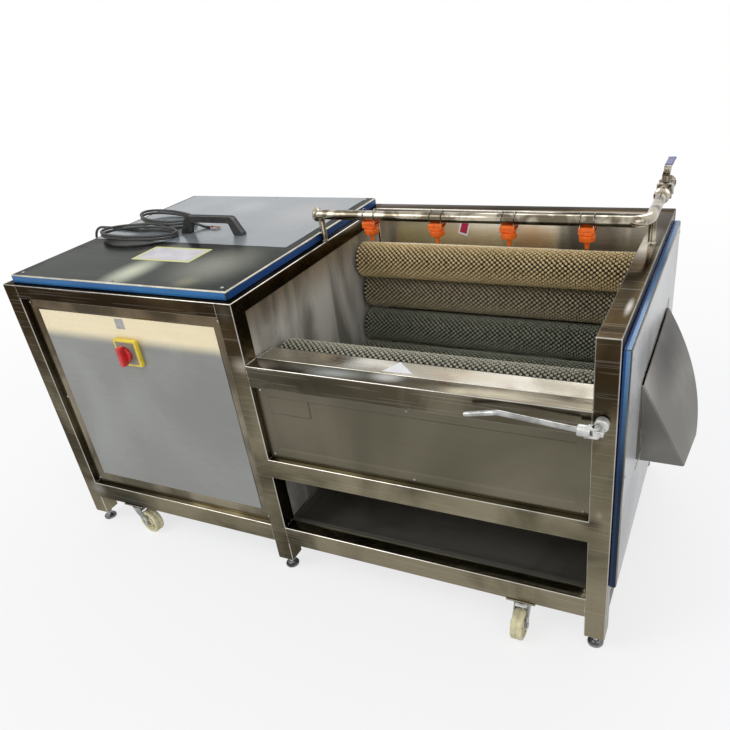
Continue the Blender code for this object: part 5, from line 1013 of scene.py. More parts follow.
def makeLidHandle():
    # A bridge: two splayed legs and a level bar, each outline's left half and its mirror image
    x, y = handleValues["place"]
    base, half = machine["lidTop"] + 0.0003, handleValues["width"] / 2
    over = mm(-111.5, 0, -111.5, 6, -108.5, 10, -88, 44, -85, 48.5, -81, 51.2, -76, 52)
    under = mm(-68, 38, -73, 35, -85.5, 0)
    outline = np.vstack([over, over[::-1] * (-1, 1), under[::-1] * (-1, 1), under]) + (x, base)
    makePiece("lidHandle", "blackNylon", "black", [prismShell(outline, 1, y - half, y + half)],
              node="cover_handle", bevel=0.0022)
    screws = [turned((x + side * handleValues["screws"], y, base + 0.0056), (side * 0.35, 0, 1), 20,
                     0, 4.6, 1.2, 4.2, 1.2, 2, 0.4, 1.8) for side in (-1, 1)]
    makePiece("handleScrews", "zincPlate", "black", screws)


makePanels()
makeLid()
makeLidHandle()
print("panels, lid and handle made")


# Tub: rear sheet, apron, blank labels, and finishes for the CAD walls and tray

apronValues = {"rail": 0.0503, "free": 0.122, "skirt": 0.102, "sheet": 0.002, "top": 0.69, "end": 0.441,
               "slope": 0.0055 / 0.072, "paper": ((1.145, 0.06), (1.222, 0.064), (1.17, 0.112))}


def makeTubSheets():
    left, right = machine["cabinet"] + 0.0003, machine["length"] - machine["tube"] - 0.0003
    rear = mm(791.7, 170.6, 791.7, 854, 790.7, 854.5, 788.7, 854, 788.7, 746, 788.2, 745, 781.2, 745, 780.7,
              744, 780.7, 742, 788.7, 742, 788.7, 170.6)
    makePiece("rearSheet", "rearSheet", "stainless", [prismShell(rear, 0, left, right)], node="tub_rear_wall",
              bevel=0.0006)
    rail, free, skirt, sheet, top, end, slope, paper = apronValues.values()

    def height(y):
        return top - (y - rail) * slope

    inner, lip = skirt + sheet, height(free)
    apron = [(rail, top - 0.0012), (rail + 0.0012, top), (free - 0.0008, lip), (free, lip - 0.0008),
             (free, lip - sheet), (inner, height(inner) - sheet), (inner, end), (skirt, end),
             (skirt, height(skirt) - sheet), (rail + sheet, height(rail + sheet) - sheet),
             (rail + sheet, top - 0.036), (rail, top - 0.036)]
    makePiece("frontApron", "apronSheet", "stainless", [prismShell(apron, 0, left, right)],
              node="front_apron", bevel=0.0004)
    # A folded slip of paper left on the apron
    low, high = (np.array([(x, y, height(y) + 0.0002 + lift) for x, y in paper]) for lift in (0, 0.00035))
    high[2, 2] += 0.004
    low[2, 2] += 0.0037
    faces = [np.array([[2, 1, 0]]), np.array([[3, 4, 5]]),
             np.array([[0, 1, 4, 3], [1, 2, 5, 4], [2, 0, 3, 5]])]
    flat = np.array(paper + paper)
    slip = shell(np.vstack([low, high]), faces, [flat[group] for group in faces], [False, False, False])
    makePiece("paperSlip", "whitePaper", "sheet", [outward(slip)])
    for name, finish in (("tub_left_wall", "tubWallSheet"), ("tub_right_wall", "tubWallSheet"),
                         ("catch_tray", "traySheet"), ("discharge_flap", "tubWallSheet"),
                         ("drive_motor", "motorEnamel"), ("drive_sprocket", "zincPlate")):
        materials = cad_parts[name].data.materials
        materials.clear()
        materials.append(finishes[finish])


tiltedValues = {"x": 1.09, "z": 0.802, "face": 0.7887, "turn": -16}


def tilted(a, b, depth):
    # On the rear sheet, turned a little in its own plane about the middle of the label
    x, z, face, turn = tiltedValues.values()
    cosine, sine = math.cos(math.radians(turn)), math.sin(math.radians(turn))
    across, up = a - x, b - z
    return x + across * cosine - up * sine, face + depth, z + across * sine + up * cosine


def makeLabels():
    # Thin blank plates with softened edges
    front, lid = facing(1, machine["setBack"]), facing(2, machine["lidTop"], -1)
    for name, low, high, place, depth, thick, corner, finish, slot in (
            ("tubPlacard", (0.826, 0.548), (0.948, 0.623), front, 0.0039, 0.0008, 0.003, "etchedPlacard",
             "stainless"),
            ("tubPlacardField", (0.829, 0.551), (0.945, 0.62), front, 0.0031, 0.0002, 0.002, "panelSheet",
             "stainless"),
            ("lidLabelEdge", (0.318, 0.184), (0.526, 0.292), lid, -0.0001, 0.0002, 0.004, "yellowEdge",
             "yellow"),
            ("lidLabel", (0.328, 0.194), (0.516, 0.282), lid, -0.0003, 0.0002, 0.003, "lavenderLabel",
             "film"),
            ("switchLabel", (0.37, 0.745), (0.4, 0.775), front, 0.0034, 0.0004, 0.002, "greyLabel", "sheet"),
            ("headerLabelEdge", (1.074, 0.778), (1.106, 0.826), tilted, -0.0001, 0.0002, 0.002, "whitePaper",
             "sheet"),
            ("headerLabel", (1.079, 0.784), (1.101, 0.82), tilted, -0.0003, 0.0002, 0.001, "redLabel",
             "red")):
        rows = [((low[0] + inset, low[1] + inset), (high[0] - inset, high[1] - inset), corner, depth - rise)
                for inset, rise in ((0, 0), (0, thick * 0.7), (thick * 0.5, thick))]
        makePiece(name, finish, slot, [stackShell(rows, place)])


makeTubSheets()
makeLabels()
print("tub sheets and blank labels made")


# Brush rollers: a core in tufts, which stand in rows that are staggered by half a step

rollerValues = {"count": 9, "radius": 0.053994, "core": 0.038, "trough": 0.2510058, "step": 25.78,
                "middle": (0.421, 0.629), "start": 0.803, "end": 1.637, "columns": 108, "rows": 24,
                "sides": 6, "root": 0.0022, "tip": 0.0041, "teeth": 12,
                "bristles": ("tanBristle", "khakiBristle") + ("oliveBristle",) * 5 + ("greyBristle",) * 2}


def tuftField(values):
    # Each tuft is a flared cone: rings of radius root and tip across its own way out, with a jagged domed end
    columns, rows, sides = values["columns"], values["rows"], values["sides"]
    i, j = (steps.ravel() for steps in np.meshgrid(np.arange(columns), np.arange(rows), indexing="ij"))
    x = (i + 0.5) * (values["end"] - values["start"]) / columns
    angle = 2 * np.pi * (j + 0.5 * (i % 2)) / rows
    random = np.random.default_rng(7)
    lean = random.normal(0, 0.0005, (len(i), 2))
    none = np.zeros_like(angle)
    out = np.stack([none, np.cos(angle), np.sin(angle)], -1)
    roundWay = np.stack([none, -np.sin(angle), np.cos(angle)], -1)
    corner = 2 * np.pi * np.arange(sides) / sides

    def ring(height, reach, jag):
        middle = out * height + xWay * (x + lean[:, 0] * (height - values["core"]) / 0.016)[:, None]
        rim = np.cos(corner)[:, None] * xWay + np.sin(corner)[:, None] * roundWay[:, None]
        return middle[:, None] + reach * rim + out[:, None] * jag[..., None]

    jag = np.where(np.arange(sides) % 2, 0.0, -0.0012)[None] + random.uniform(-0.0006, 0.0003,
                                                                              (len(i), sides))
    foot = ring(values["core"] - 0.0005, values["root"], np.zeros((len(i), sides)))
    head = ring(values["radius"] - 0.0014, values["tip"], jag)
    tip = out * (values["radius"] - 0.0002) + xWay * (x + lean[:, 0])[:, None]
    points = np.concatenate([foot, head, tip[:, None]], 1).reshape(-1, 3)
    base = np.arange(len(i))[:, None] * (2 * sides + 1)
    k = np.arange(sides)
    after = (k + 1) % sides
    side = (np.stack([k, after, after + sides, k + sides], -1) + base[..., None]).reshape(-1, 4)
    cap = (np.stack([k + sides, after + sides, np.full(sides, 2 * sides)], -1)
           + base[..., None]).reshape(-1, 3)
    faces = [side, cap, k[::-1][None] + base]
    polar = np.stack([points[:, 0], np.arctan2(points[:, 2], points[:, 1]) * values["radius"]], -1)
    # How far up the tuft each point is, for the painted shade at its root
    height = np.concatenate([np.zeros(sides), np.full(sides, 0.85), [1.0]])
    return outward(shell(points, faces, [polar[group] for group in faces], [True, True, False],
                         np.tile(height, len(i))))


def makeRollers():
    values = rollerValues
    tufts = tuftField(values)
    length = (values["end"] - values["start"]) * 1000
    core = turned((0, 0, 0), xWay, 40, -83, 11, -82, 12, 0, 12, 0, 37, 1, 38, length - 1, 38, length, 37,
                  length, 8, length + 23.5, 8, length + 24.2, 7.3)
    angle = 2 * np.pi * np.arange(values["teeth"] * 4) / (values["teeth"] * 4)
    outline = np.tile(mm(32, 34.5, 38.5, 34.5).ravel(), values["teeth"])[:, None] \
        * np.stack([np.cos(angle), np.sin(angle)], -1)
    disc = prismShell(outline, 0, -0.077, -0.069)
    sealProfile = mm(0, 13.5, 0, 30, 1.5, 32, 3, 32, 4.5, 30, 4.5, 13.5)
    seals = []
    for i in range(values["count"]):
        share = math.radians(values["step"]) * (1 - i)
        y = values["middle"][0] + values["trough"] * math.cos(share)
        z = values["middle"][1] + values["trough"] * math.sin(share)
        for name, finish, slot, part, turn, node, bevel in (
                ("Tufts", values["bristles"][i], "brush", tufts, 7.5 * (i % 2), f"brush_roller_{i + 1}", 0),
                ("Core", "brushCore", "brush", core, 0, None, 0),
                ("Sprocket", "zincPlate", "zinc", disc, 0, None, 0.0006)):
            placed = moved(part, turnAbout(xWay, turn), (values["start"], y, z))
            makePiece(f"roller{name}_{i + 1}", finish, slot, [placed], f"roller_{i + 1}", node, bevel)
        seals += [ringShell(sealProfile, (x, y, z), way, 28) for x, way in ((0.7892, xWay), (1.6508, -xWay))]
    makePiece("shaftSeals", "blackNylon", "black", seals)
    print("rollers made")


makeRollers()


# Discharge end: folded end cover with its hole, curved chute, lever and knuckle

endValues = {"plate": 1.6953, "depth": 0.016, "sheet": 0.002, "low": (0.017, 0.21), "high": (0.825, 0.827),
             "holeLow": (0.293, 0.428), "holeHigh": (0.512, 0.628),
             "film": (((0.023, 0.216), (0.819, 0.42), 40, 0.0003),
                      ((0.023, 0.664), (0.819, 0.821), 40, 0.0003),
                      ((0.023, 0.4203), (0.198, 0.6637), 20, 0.0002),
                      ((0.68, 0.4203), (0.819, 0.6637), 20, 0.0002))}


def makeEndCover():
    back, depth, sheet, low, high, holeLow, holeHigh, film = endValues.values()
    front = back + depth

    def outer(inset, x):
        return (low[0] + inset, low[1] + inset), (high[0] - inset, high[1] - inset), 0.003, x

    def hole(grow, x):
        return (holeLow[0] - grow, holeLow[1] - grow), (holeHigh[0] + grow, holeHigh[1] + grow), 0.004, x

    rows = [hole(0, front - sheet), outer(0.03, front - sheet), outer(sheet, front - sheet),
            outer(sheet, back), outer(0.0005, back), outer(0, back + 0.0005), outer(0, front - 0.0022),
            outer(0.0007, front - 0.0007), outer(0.0022, front), outer(0.03, front), hole(0.0005, front),
            hole(0, front - 0.0005)]
    makePiece("endCoverPan", "panelBorder", "film", [stackShell(rows, facing(0), closed=True)],
              node="end_cover")
    # Film on the face, in strips round the hole, and coloured film on the flanges: on each flange an inner
    # strip of blue darkened as a painted shadow in the gap, and an outer azure strip with painted shade
    # towards the bottom
    parts = [filmShell(start, end, facing(0, front, -1), -0.00005, ripple, columns, 20)
             for start, end, columns, ripple in film]
    makePiece("endCoverFilm", "endFilm", "film", parts)
    seam = back + 0.0055
    for tint, start, end, finish in (("Inner", back + 0.0007, seam, "shadedBlueFilm"),
                                     ("Outer", seam + 0.0002, front - 0.0022, "azureFilm")):
        for side, place, way in (("Front", facing(1, low[0]), 1), ("Top", facing(2, high[1], -1), 0),
                                 ("Back", facing(1, high[0], -1), 1)):
            strip = filmShell((start, low[way] + 0.001), (end, high[way] - 0.001), place, -0.00005, 0.0002, 4,
                              40)
            makePiece("endFilm" + side + tint, finish, "film", [strip])


chuteValues = {"plate": 1.7116, "wall": 0.0025, "top": 0.64, "drop": 0.262, "soft": 0.004}


def makeChute():
    # Rows from the top edge down: the front side deepens evenly and the rear side by one less a square
    wall, soft = chuteValues["wall"], chuteValues["soft"]
    share = np.linspace(0, 1, 33) ** 1.15
    z = chuteValues["top"] - chuteValues["drop"] * share
    front, rear = 0.217 + 0.088 * share, 0.66 - 0.2 * share
    frontDepth, rearDepth = 0.005 + 0.098 * share, 0.005 + 0.112 * (1 - (1 - share) ** 2)
    fan = np.linspace(0, 1, 13)[1:-1]

    def across(thick, half, least, edge):
        # The front cheek, its rounded fold, the outer face, its rounded fold, the rear cheek
        face = [(np.maximum(frontDepth + (rearDepth - frontDepth) * s - thick, least),
                 front + soft + (rear - front - 2 * soft) * s) for s in fan]
        places = [(0 * z, front + thick), (np.maximum(frontDepth - soft - half, edge), front + thick),
                  (np.maximum(frontDepth - thick, least), front + soft + half), *face,
                  (np.maximum(rearDepth - thick, least), rear - soft - half),
                  (np.maximum(rearDepth - soft - half, edge), rear - thick), (0 * z, rear - thick)]
        return np.stack([np.stack([chuteValues["plate"] + x, y, z], -1) for x, y in places], 1)

    outer, inner = across(0, 0, 0, 0.001), across(wall, wall * 0.5, 0.0016, 0.0008)
    loop = np.concatenate([outer, inner[:, ::-1]], 1)
    count = outer.shape[1]
    part = gridShell(loop, wrapV=True, capU=False)
    number = np.arange(loop.shape[0] * loop.shape[1]).reshape(loop.shape[:2])
    k = np.arange(count - 1)
    for row, way in ((0, -1), (-1, 1)):
        strip = number[row][np.stack([k, k + 1, 2 * count - 2 - k, 2 * count - 1 - k], -1)][:, ::way]
        part["faces"].append(strip)
        part["uvs"].append(loop.reshape(-1, 3)[strip][..., :2])
        part["smooth"].append(False)
    makePiece("chuteSheet", "chuteSheet", "stainless", [outward(part)], node="discharge_chute")


leverValues = {"place": (1.667, -0.0323, 0.673), "pin": (-0.008, -0.0075), "grip": 0.0063, "plate": 0.0065,
               "rod": mm(6, 0, 0, 0.3, -60, 5.2, -120, 10.4, -154, 13.3, -167, 13.8, -183, 10.7, -212, 4.6,
                         -240.5, -1.2)}


def makeDoorLever():
    # Round hub with a raised rim, tongue, the shaft behind, and the folding lever on its pin
    x, y, z = leverValues["place"]
    pinX, pinZ = x + leverValues["pin"][0], z + leverValues["pin"][1]
    hub = [turned((x, -0.004, z), -yWay, 40, 0, 13, 1.5, 14.5, 3, 14.8, 17.2, 14.8, 18.8, 14.2, 19.5, 13.2,
                  19.5, 11, 18.4, 10.2, end=18.2),
           tubeShell([(x, -0.01, z), (x, 0.4, z), (x, 0.806, z)], 0.009, 24),
           boxShell((pinX, y - 0.008, pinZ - 0.006), (x + 0.008, -0.0216, pinZ + 0.006), 0.0018),
           turned((pinX, y, pinZ - 0.006), zWay, 28, 0, 7.5, 0.8, 8, 11.2, 8, 12, 7.5)]
    makePiece("leverHub", "castSteel", "cast", hub, "door", "door_shaft")
    grip, plate = leverValues["grip"], leverValues["plate"]
    parts = []
    for low in (pinZ + grip, pinZ - grip - plate):
        parts += [boxShell((pinX - 0.013, y - 0.008, low), (pinX, y + 0.008, low + plate), 0.0016),
                  turned((pinX, y, low), zWay, 28, 0, 7.3, 0.8, 8, 5.7, 8, 6.5, 7.3)]
    parts += [boxShell((pinX - 0.0165, y - 0.0085, pinZ - grip - plate),
                       (pinX - 0.01, y + 0.0085, pinZ + grip + plate), 0.0024),
              turned((pinX - 0.0104, y, pinZ), -xWay, 36, 0, 11.2, 1.8, 12.4, 5, 12.6, 22.5, 12.6, 24.8, 12,
                     26, 10.4),
              turned((pinX, y, pinZ - 0.0136), zWay, 20, 0, 3.6, 0.6, 4, 26.6, 4, 27.2, 3.6)]
    makePiece("leverYoke", "castSteel", "cast", parts, "lever", "door_lever")
    route = smoothRoute(np.insert(leverValues["rod"] + (pinX - 0.036, pinZ), 1, y, axis=1), 0.004)
    radius = np.full(len(route), 0.0062)
    radius[-2:] = 0.006, 0.0052
    makePiece("leverRod", "zincPlate", "cast", [tubeShell(route, radius, 20)], "lever")


makeEndCover()
makeChute()
makeDoorLever()
print("discharge end made")


# Water: spray pipe on its two stubs, clamp, ball valve, nozzles on wire bands

pipeValues = {"y": 0.468, "z": 0.931, "left": 0.774, "right": 1.67, "radius": 0.0135, "bend": 0.045,
              "end": 0.69, "stubs": ((0.786, 0.468), (1.67, 0.545)), "valveStart": 0.6903,
              "valveLength": 0.135}


def makePipe():
    v = pipeValues
    y, z, left, right, bend = v["y"], v["z"], v["left"], v["right"], v["bend"]
    angle = np.radians(np.linspace(0, 90, 15))
    arc = np.stack([right - bend + bend * np.sin(angle), y + bend - bend * np.cos(angle), np.full(15, z)], -1)
    path = np.vstack([[[left, y, z], [left + 0.0005, y, z], [1.0, y, z], [1.4, y, z]], arc,
                      [[right, 0.6, z], [right, v["end"], z]]])
    parts = [tubeShell(path, v["radius"], 36)]
    parts += [turned(at, way, 36, 0, 18.5, 1, 20, 4, 20, 6.5, 15, 9, 13.7)
              for at, way in (((left, y, z), xWay), ((right, v["end"], z), -yWay))]
    parts += [turned((*at, 0.8563), zWay, 28, 0, 12, 1.2, 10.5, 3, 9.3, 6, 9, 56, 9, 60, 9.5, 63, 11.2, 66,
                     11.2)
              for at in v["stubs"]]
    parts += [ringShell(mm(-1.2, 13, -1, 14, 1, 14, 1.2, 13), at, way, 36)
              for at, way in (((1.6, y, z), xWay), ((right, 0.528, z), yWay))]
    makePiece("sprayPipe", "polishedPipe", "stainless", parts, node="spray_pipe")
    clamp = mm(-5.5, 13.5, -5.5, 17.7, -3.5, 19.2, 3.5, 19.2, 5.5, 17.7, 5.5, 13.5)
    makePiece("pipeClamp", "polishedPipe", "stainless", [ringShell(clamp, (left + 0.0005, y, z), xWay, 36)])


def makeValve():
    # Three-piece ball valve: round ends, a square body between two flanges and four bolts
    x, z, start = pipeValues["right"], pipeValues["z"], pipeValues["valveStart"]
    middle = start + pipeValues["valveLength"] / 2
    parts = [turned((x, start, z), yWay, 40, 0, 18.5, 1, 20, 6, 20, 9, 15, 14, 14.5, 34, 14.5, 38, 17.5, 43,
                    20, 48, 20.8, 87, 20.8, 92, 20, 97, 17.5, 101, 14.5, 121, 14.5, 126, 15, 129, 20, 134, 20,
                    135, 18.5)]
    for side in (-1, 1):
        parts.append(block((x, middle + side * 0.0215, z), (39, 7, 39), 2.5))
        parts += [turned((x + side * 0.015, middle - 0.029, z + up * 0.015), yWay, 12, 0, 3, 0.5, 3.5, 3.6,
                         3.5, 4, 2.2, 54, 2.2, 54.4, 3.5, 57.5, 3.5, 58, 3) for up in (-1, 1)]
    parts.append(turned((x, middle, z), zWay, 28, 0, 10.5, 34.5, 10.5, 36, 9.5, 36, 6, 50, 6, 52, 5))
    makePiece("ballValve", "polishedPipe", "stainless", parts, node="water_valve")
    base = 0.9673
    outline = mm(-13, 0, 12.5, 0, 26.8, 14, 118, 14, 118, 17, 25.8, 17, 11.5, 3, -13, 3) + (middle, base)
    blade = [prismShell(outline, 0, x - 0.0092, x + 0.0092),
             turned((x, middle, 0.9706), zWay, 6, 0, 9, 0.5, 9.8, 5, 9.8, 5.5, 9)]
    makePiece("valveBlade", "polishedPipe", "blue", blade, "valve_lever", "valve_handle", 0.0008)
    sleeve = [block((x, middle + 0.0774, base + 0.0155), (19.2, 82.8, 6.2), 2.1, 3),
              block((x, middle + 0.1145, base + 0.0155), (20.4, 9, 7), 2.2, 3)]
    makePiece("valveSleeve", "blueSleeve", "blue", sleeve, "valve_lever")


nozzleValues = {"first": 0.942, "pitch": 0.196, "count": 4, "ball": 0.8842}


def makeNozzles():
    # Saddle under the pipe, a round union with ribs, and the ball tip; two wires hold each one
    y, pipeZ = pipeValues["y"], pipeValues["z"]
    top, ballZ = pipeZ - pipeValues["radius"] - 0.0003, nozzleValues["ball"]
    rib = block((0.0195, 0, -0.028), (1, 2.4, 13), 0.4, 1)
    wing = block((0, 0, -0.0156), (10.4, 3.2, 13.2), 1)
    angle = np.radians(np.linspace(-32, 212, 34))
    loop = 0.0151 + 0.003 * np.clip(np.sin(angle), 0, 1)
    for i in range(nozzleValues["count"]):
        x = nozzleValues["first"] + nozzleValues["pitch"] * i
        parts = [block((x, y, top - 0.00525), (39, 33, 10.5), 2.4, 3),
                 block((x, y, top - 0.0145), (33, 30, 11), 2.8, 3),
                 ringShell(mm(0, 11.2, 0, 18.5, 1.2, 19.8, 12.5, 19.8, 15, 18, 16, 11.2), (x, y, top - 0.02),
                           -zWay, 36)]
        parts += [moved(rib, turnAbout(zWay, 30 * k), (x, y, top)) for k in range(12)]
        wires = []
        for side in (-1, 1):
            bandX = x + side * 0.0165
            parts += [block((bandX, y, top - 0.00775), (6, 33.6, 11.5), 1.6),
                      block((x - 0.0128, y + side * 0.0145, top - 0.0135), (13.6, 4.4, 7), 1.2)]
            arc = np.stack([np.full(34, bandX), y + loop * np.cos(angle), pipeZ + loop * np.sin(angle)], -1)
            drop = [[bandX, y + 0.0158, top - 0.01], [bandX, y + 0.0149, top - 0.003]]
            fall = [[bandX, y - 0.0149, top - 0.003], [bandX, y - 0.0158, top - 0.01]]
            wires.append(tubeShell(smoothRoute(np.vstack([drop, arc, fall]), 0.0015), 0.0012, 8, xWay))
        tip = turned((x, y, ballZ), -zWay, 28, -9.5, 3, -8, 6, -5, 8.7, 0, 10, 5, 8.7, 7.8, 6.4, 10, 6, 21,
                     5.2, 22.2, 4.6, 23, 3.2, 22.6, 1.4, end=21.8)
        wings = [moved(wing, turnAbout(zWay, 90 * k), (x, y, ballZ)) for k in range(2)]
        makePiece(f"nozzleSaddle_{i + 1}", "orangeMoulding", "orange", parts, node=f"nozzle_clip_{i + 1}")
        makePiece(f"nozzleBall_{i + 1}", "orangeMoulding", "orange", [tip] + wings, f"nozzle_{i + 1}",
                  f"nozzle_tip_{i + 1}")
        makePiece(f"nozzleWires_{i + 1}", "springWire", "stainless", wires)


makePipe()
makeValve()
makeNozzles()
print("spray pipe, valve and nozzles made")


# Switch, castors and feet

switchValues = {"x": 0.391, "z": 0.678, "face": 0.0197, "thick": 0.012}


def makeSwitch():
    x, z, face, thick = switchValues.values()
    front = face - thick
    back = front - 0.0043

    def squares(*rows):
        # Half width and corner in millimetres, and the depth of each
        return stackShell([(np.array((x, z)) - half / 1000, np.array((x, z)) + half / 1000,
                            corner / 1000, depth) for half, corner, depth in rows], facing(1))

    plate = squares((39.5, 4, face), (40, 4.5, face - 0.001), (40, 4.5, front + 0.0025),
                    (39.2, 4.5, front + 0.0008), (37.5, 4, front))
    makePiece("switchPlate", "yellowPlate", "yellow", [plate], node="switch_plate")
    collar = [turned((x, front + 0.0001, z), -yWay, 40, 0, 25.8, 0.8, 26.2, 3.4, 25.6, 4, 24.5),
              squares((33, 3, front + 0.0004), (33, 3, front - 0.0003), (32.2, 3, front - 0.0007))]
    makePiece("switchCollar", "greyCollar", "yellow", collar)
    knob = [turned((x, back, z), -yWay, 40, 0, 21.5, 1, 22, 7.5, 21.4, 9.5, 20, 10, 18.5),
            block((x, back - 0.0149, z), (15.6, 21.8, 57), 4.5, 4)]
    tooth = block((0.02145, -0.0049, 0), (1.9, 8.2, 2.4), 0.5, 1)
    knob += [moved(tooth, turnAbout(yWay, 20 * k), (x, back, z)) for k in range(18)]
    makePiece("switchKnob", "redKnob", "red", knob, "knob", "switch_knob")


castorValues = {"front_left": (0.194, 0.025, -8.0), "rear_left": (0.194, 0.817, 160.0),
                "front_right": (1.486, 0.025, -90.0), "rear_right": (1.486, 0.817, 20.0)}


def makeCastors():
    # Made with the wheel trailing along x from the swivel line, then turned about it
    trail, axle, leg, wall = 0.036, 0.04, 0.0162, 0.003
    angle = np.radians(np.linspace(-170, -20, 12))
    eye = np.stack([trail + 0.0105 * np.cos(angle), axle + 0.0105 * np.sin(angle)], -1)
    # A fork leg narrows from the crown to a round eye; webs join the legs under the crown
    outline = np.vstack([mm(-16.5, 96.2, -17, 89, -4, 68, 25, 44), eye, mm(47, 44, 28, 68, 19, 89, 17, 96.2)])
    fork = [turned((0, 0, 0), zWay, 32, 92.7, 22.5, 93.5, 24.5, 96.5, 24.5, 97.7, 23),
            prismShell(outline, 1, leg, leg + wall), prismShell(outline, 1, -leg - wall, -leg),
            prismShell(mm(-16.5, 93, -16.8, 88, -10, 76.5, -7.6, 78, -14, 89, -13.8, 93), 1, -leg, leg),
            prismShell(mm(14.5, 93, 16.5, 88, 22.5, 84, 24, 86.2, 19, 89.5, 17.2, 93), 1, -leg, leg)]
    bolt = [turned((trail, 0, axle), yWay, 6, -23.2, 6.4, -22.8, 7, -19.6, 7, -19.2, 5, 19.2, 5, 19.6, 7,
                   22.8, 7, 23.2, 6.4)]
    # Wheel: tread in two halves with a groove between them, dished web and hub
    half = mm(1.2, 37.8, 2.2, 39.4, 4, 40, 10, 40, 12.5, 39.6, 14.3, 38.4, 15, 36.6, 15, 31, 14.4, 30, 8,
              28.5, 7, 27, 7, 17, 7.6, 15, 14.4, 13, 15, 12, 15, 5.6)
    wheel = [ringShell(np.vstack([half[::-1] * (-1, 1), half]), (0, 0, 0), yWay, 48)]
    wheel += [moved(block((0.02125, side * 0.0095, 0), (17.5, 6, 2.8), 0.7, 1), turnAbout(yWay, 60 * k))
              for k in range(6) for side in (-1, 1)]
    for spot, (x, y, turn) in castorValues.items():
        about = turnAbout(zWay, turn)
        centre = about @ (trail, 0, 0) + (x, y, axle)
        for name, finish, slot, parts, at, body, node, bevel in (
                ("Fork", "zincPlate", "zinc", fork, (x, y, 0), "fork_", "castor_fork_" + spot, 0.0008),
                ("Bolt", "zincPlate", "zinc", bolt, (x, y, 0), "fork_", None, 0),
                ("Wheel", "creamNylon", "nylon", wheel, centre, "wheel_", "castor_wheel_" + spot, 0)):
            makePiece(f"castor{name}_{spot}", finish, slot, [moved(part, about, at) for part in parts],
                      body + spot, node, bevel)


footValues = {"front_left": (0.025, 0.025), "rear_left": (0.025, 0.817), "front_middle": (0.77, 0.025),
              "rear_middle": (0.77, 0.817), "front_right": (1.67, 0.025), "rear_right": (1.67, 0.817)}


def makeFeet():
    # Pad, threaded stem (rings at a 1.5 mm pitch) and a hexagon nut
    heights = np.arange(0.0145, 0.0745, 0.00075)
    thread = np.stack([heights, np.where(np.arange(len(heights)) % 2, 0.006, 0.0053)], 1)
    stem = turnedShell(np.vstack([mm(13.5, 0, 13.5, 5.5), thread, mm(76, 5, 76, 0)]), (0, 0, 0), zWay, 16)
    nut = turned((0, 0, 0), zWay, 6, 22, 9.8, 22.8, 11, 29.2, 11, 30, 9.8)
    pad = turned((0, 0, 0), zWay, 32, 3, 18.5, 3.6, 19.5, 8, 20, 10, 19, 11.5, 13, 13, 10.5, 14.5, 9)
    for spot, place in footValues.items():
        stemParts, padParts = ([moved(part, None, (*place, 0)) for part in parts]
                               for parts in ((stem, nut), (pad,)))
        makePiece(f"footStem_{spot}", "zincPlate", "zinc", stemParts, f"foot_{spot}",
                  f"levelling_foot_{spot}")
        makePiece(f"footPad_{spot}", "footSteel", "zinc", padParts, f"foot_{spot}")


makeSwitch()
makeCastors()
makeFeet()
print("switch, castors and feet made")


# Screws and rivets on the covers and panels

screwValues = {"cover": (4.6, 2.2), "rivet": (3.6, 1.6), "rivetHeights": (0.183, 0.49, 0.8)}


def pan(place, axis, kind):
    # A domed head with a recess left as a small dimple
    r, h = screwValues[kind]
    return turned(place, axis, 20, 0, r, h * 0.4, r * 0.96, h * 0.8, r * 0.72, h, r * 0.42, h * 0.72,
                  r * 0.34, end=h * 0.6)


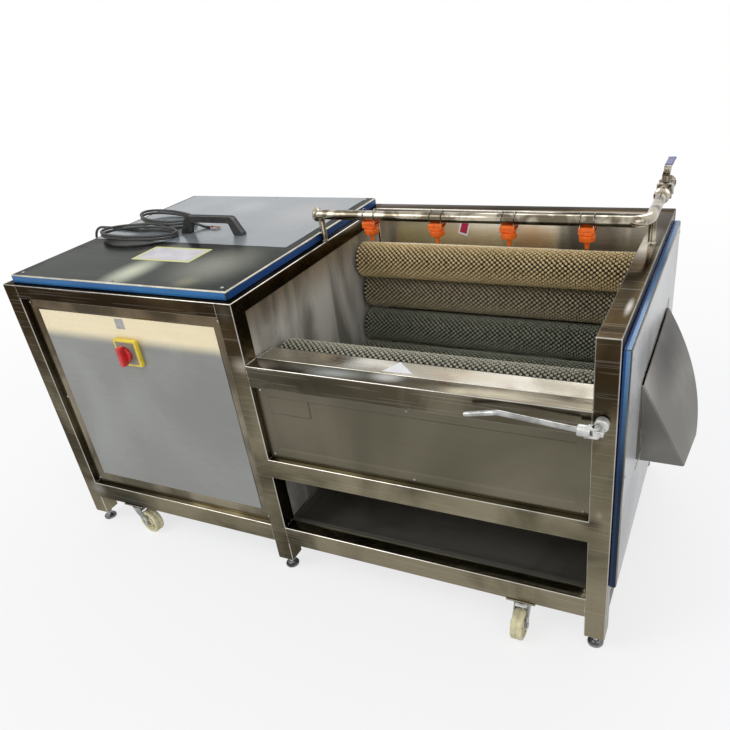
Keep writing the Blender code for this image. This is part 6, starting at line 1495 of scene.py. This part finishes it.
def makeScrews():
    top, plate, setBack = machine["lidTop"], endValues["plate"] + endValues["depth"], machine["setBack"]
    lidSpots = [(x, y) for x in (0.052, 0.748) for y in (0.04, 0.8)] + [(0.4, 0.03), (0.4, 0.812)]
    heads = [pan((x, y, top), zWay, "cover") for x, y in lidSpots]
    heads += [pan((plate, y, z), xWay, "cover") for y in (0.034, 0.808) for z in (0.232, 0.52, 0.8)]
    makePiece("coverScrews", "zincPlate", "stainless", heads)
    levels = screwValues["rivetHeights"]
    rivets = [pan((x, y, z), way, "rivet") for x in (0.064, 0.731) for z in levels
              for y, way in ((setBack, -yWay), (machine["depth"] - setBack, yWay))]
    rivets += [pan((setBack, y, z), -xWay, "rivet") for y in (0.064, 0.778) for z in levels]
    rivets += [pan((x, setBack, z), -yWay, "rivet") for x in (0.81, 1.22, 1.63) for z in (0.42, 0.617)]
    makePiece("panelRivets", "zincPlate", "stainless", rivets)
    print("screws and rivets made")


makeScrews()


# Floor and backdrop

stageValues = {"near": 1.2, "far": 3.6, "nearWhite": 0.74, "half": 30}


def makeStage():
    # A pale floor that keeps the object's shadow; camera, glossy and transmission rays find it nearly white
    material, tree, sockets = newMaterial("paleFloor")
    place = addNode(tree, "TexCoord").outputs["Object"]
    cloud = placeGroup(tree, softBlotches, place, Scale=0.6, Low=0.2, High=0.8)
    tree.links.new(mixColours(tree, cloud, (0.8, 0.8, 0.8), (0.83, 0.83, 0.83)), sockets["Base Color"])
    sockets["Roughness"].default_value = 0.85
    length = addNode(tree, "VectorMath", {0: place}, operation="LENGTH").outputs["Value"]
    far = smoothStep(tree, length, stageValues["near"], stageValues["far"], stageValues["nearWhite"])
    white = addNode(tree, "Emission", {"Color": (1, 1, 1, 1)}).outputs[0]
    mixed = addNode(tree, "MixShader", {0: mathNode(tree, "MULTIPLY", seenRays(tree), far),
                                        1: tree.nodes["Principled BSDF"].outputs[0], 2: white})
    tree.links.new(mixed.outputs[0], tree.nodes["Material Output"].inputs["Surface"])
    half = stageValues["half"]
    mesh = bpy.data.meshes.new("floor")
    mesh.from_pydata([(-half, -half, 0), (half, -half, 0), (half, half, 0), (-half, half, 0)], [],
                     [(0, 1, 2, 3)])
    mesh.materials.append(material)
    floor = bpy.data.objects.new("floor", mesh)
    bpy.context.scene.collection.objects.link(floor)


makeStage()
print("stage made")

bpy.context.view_layer.update()
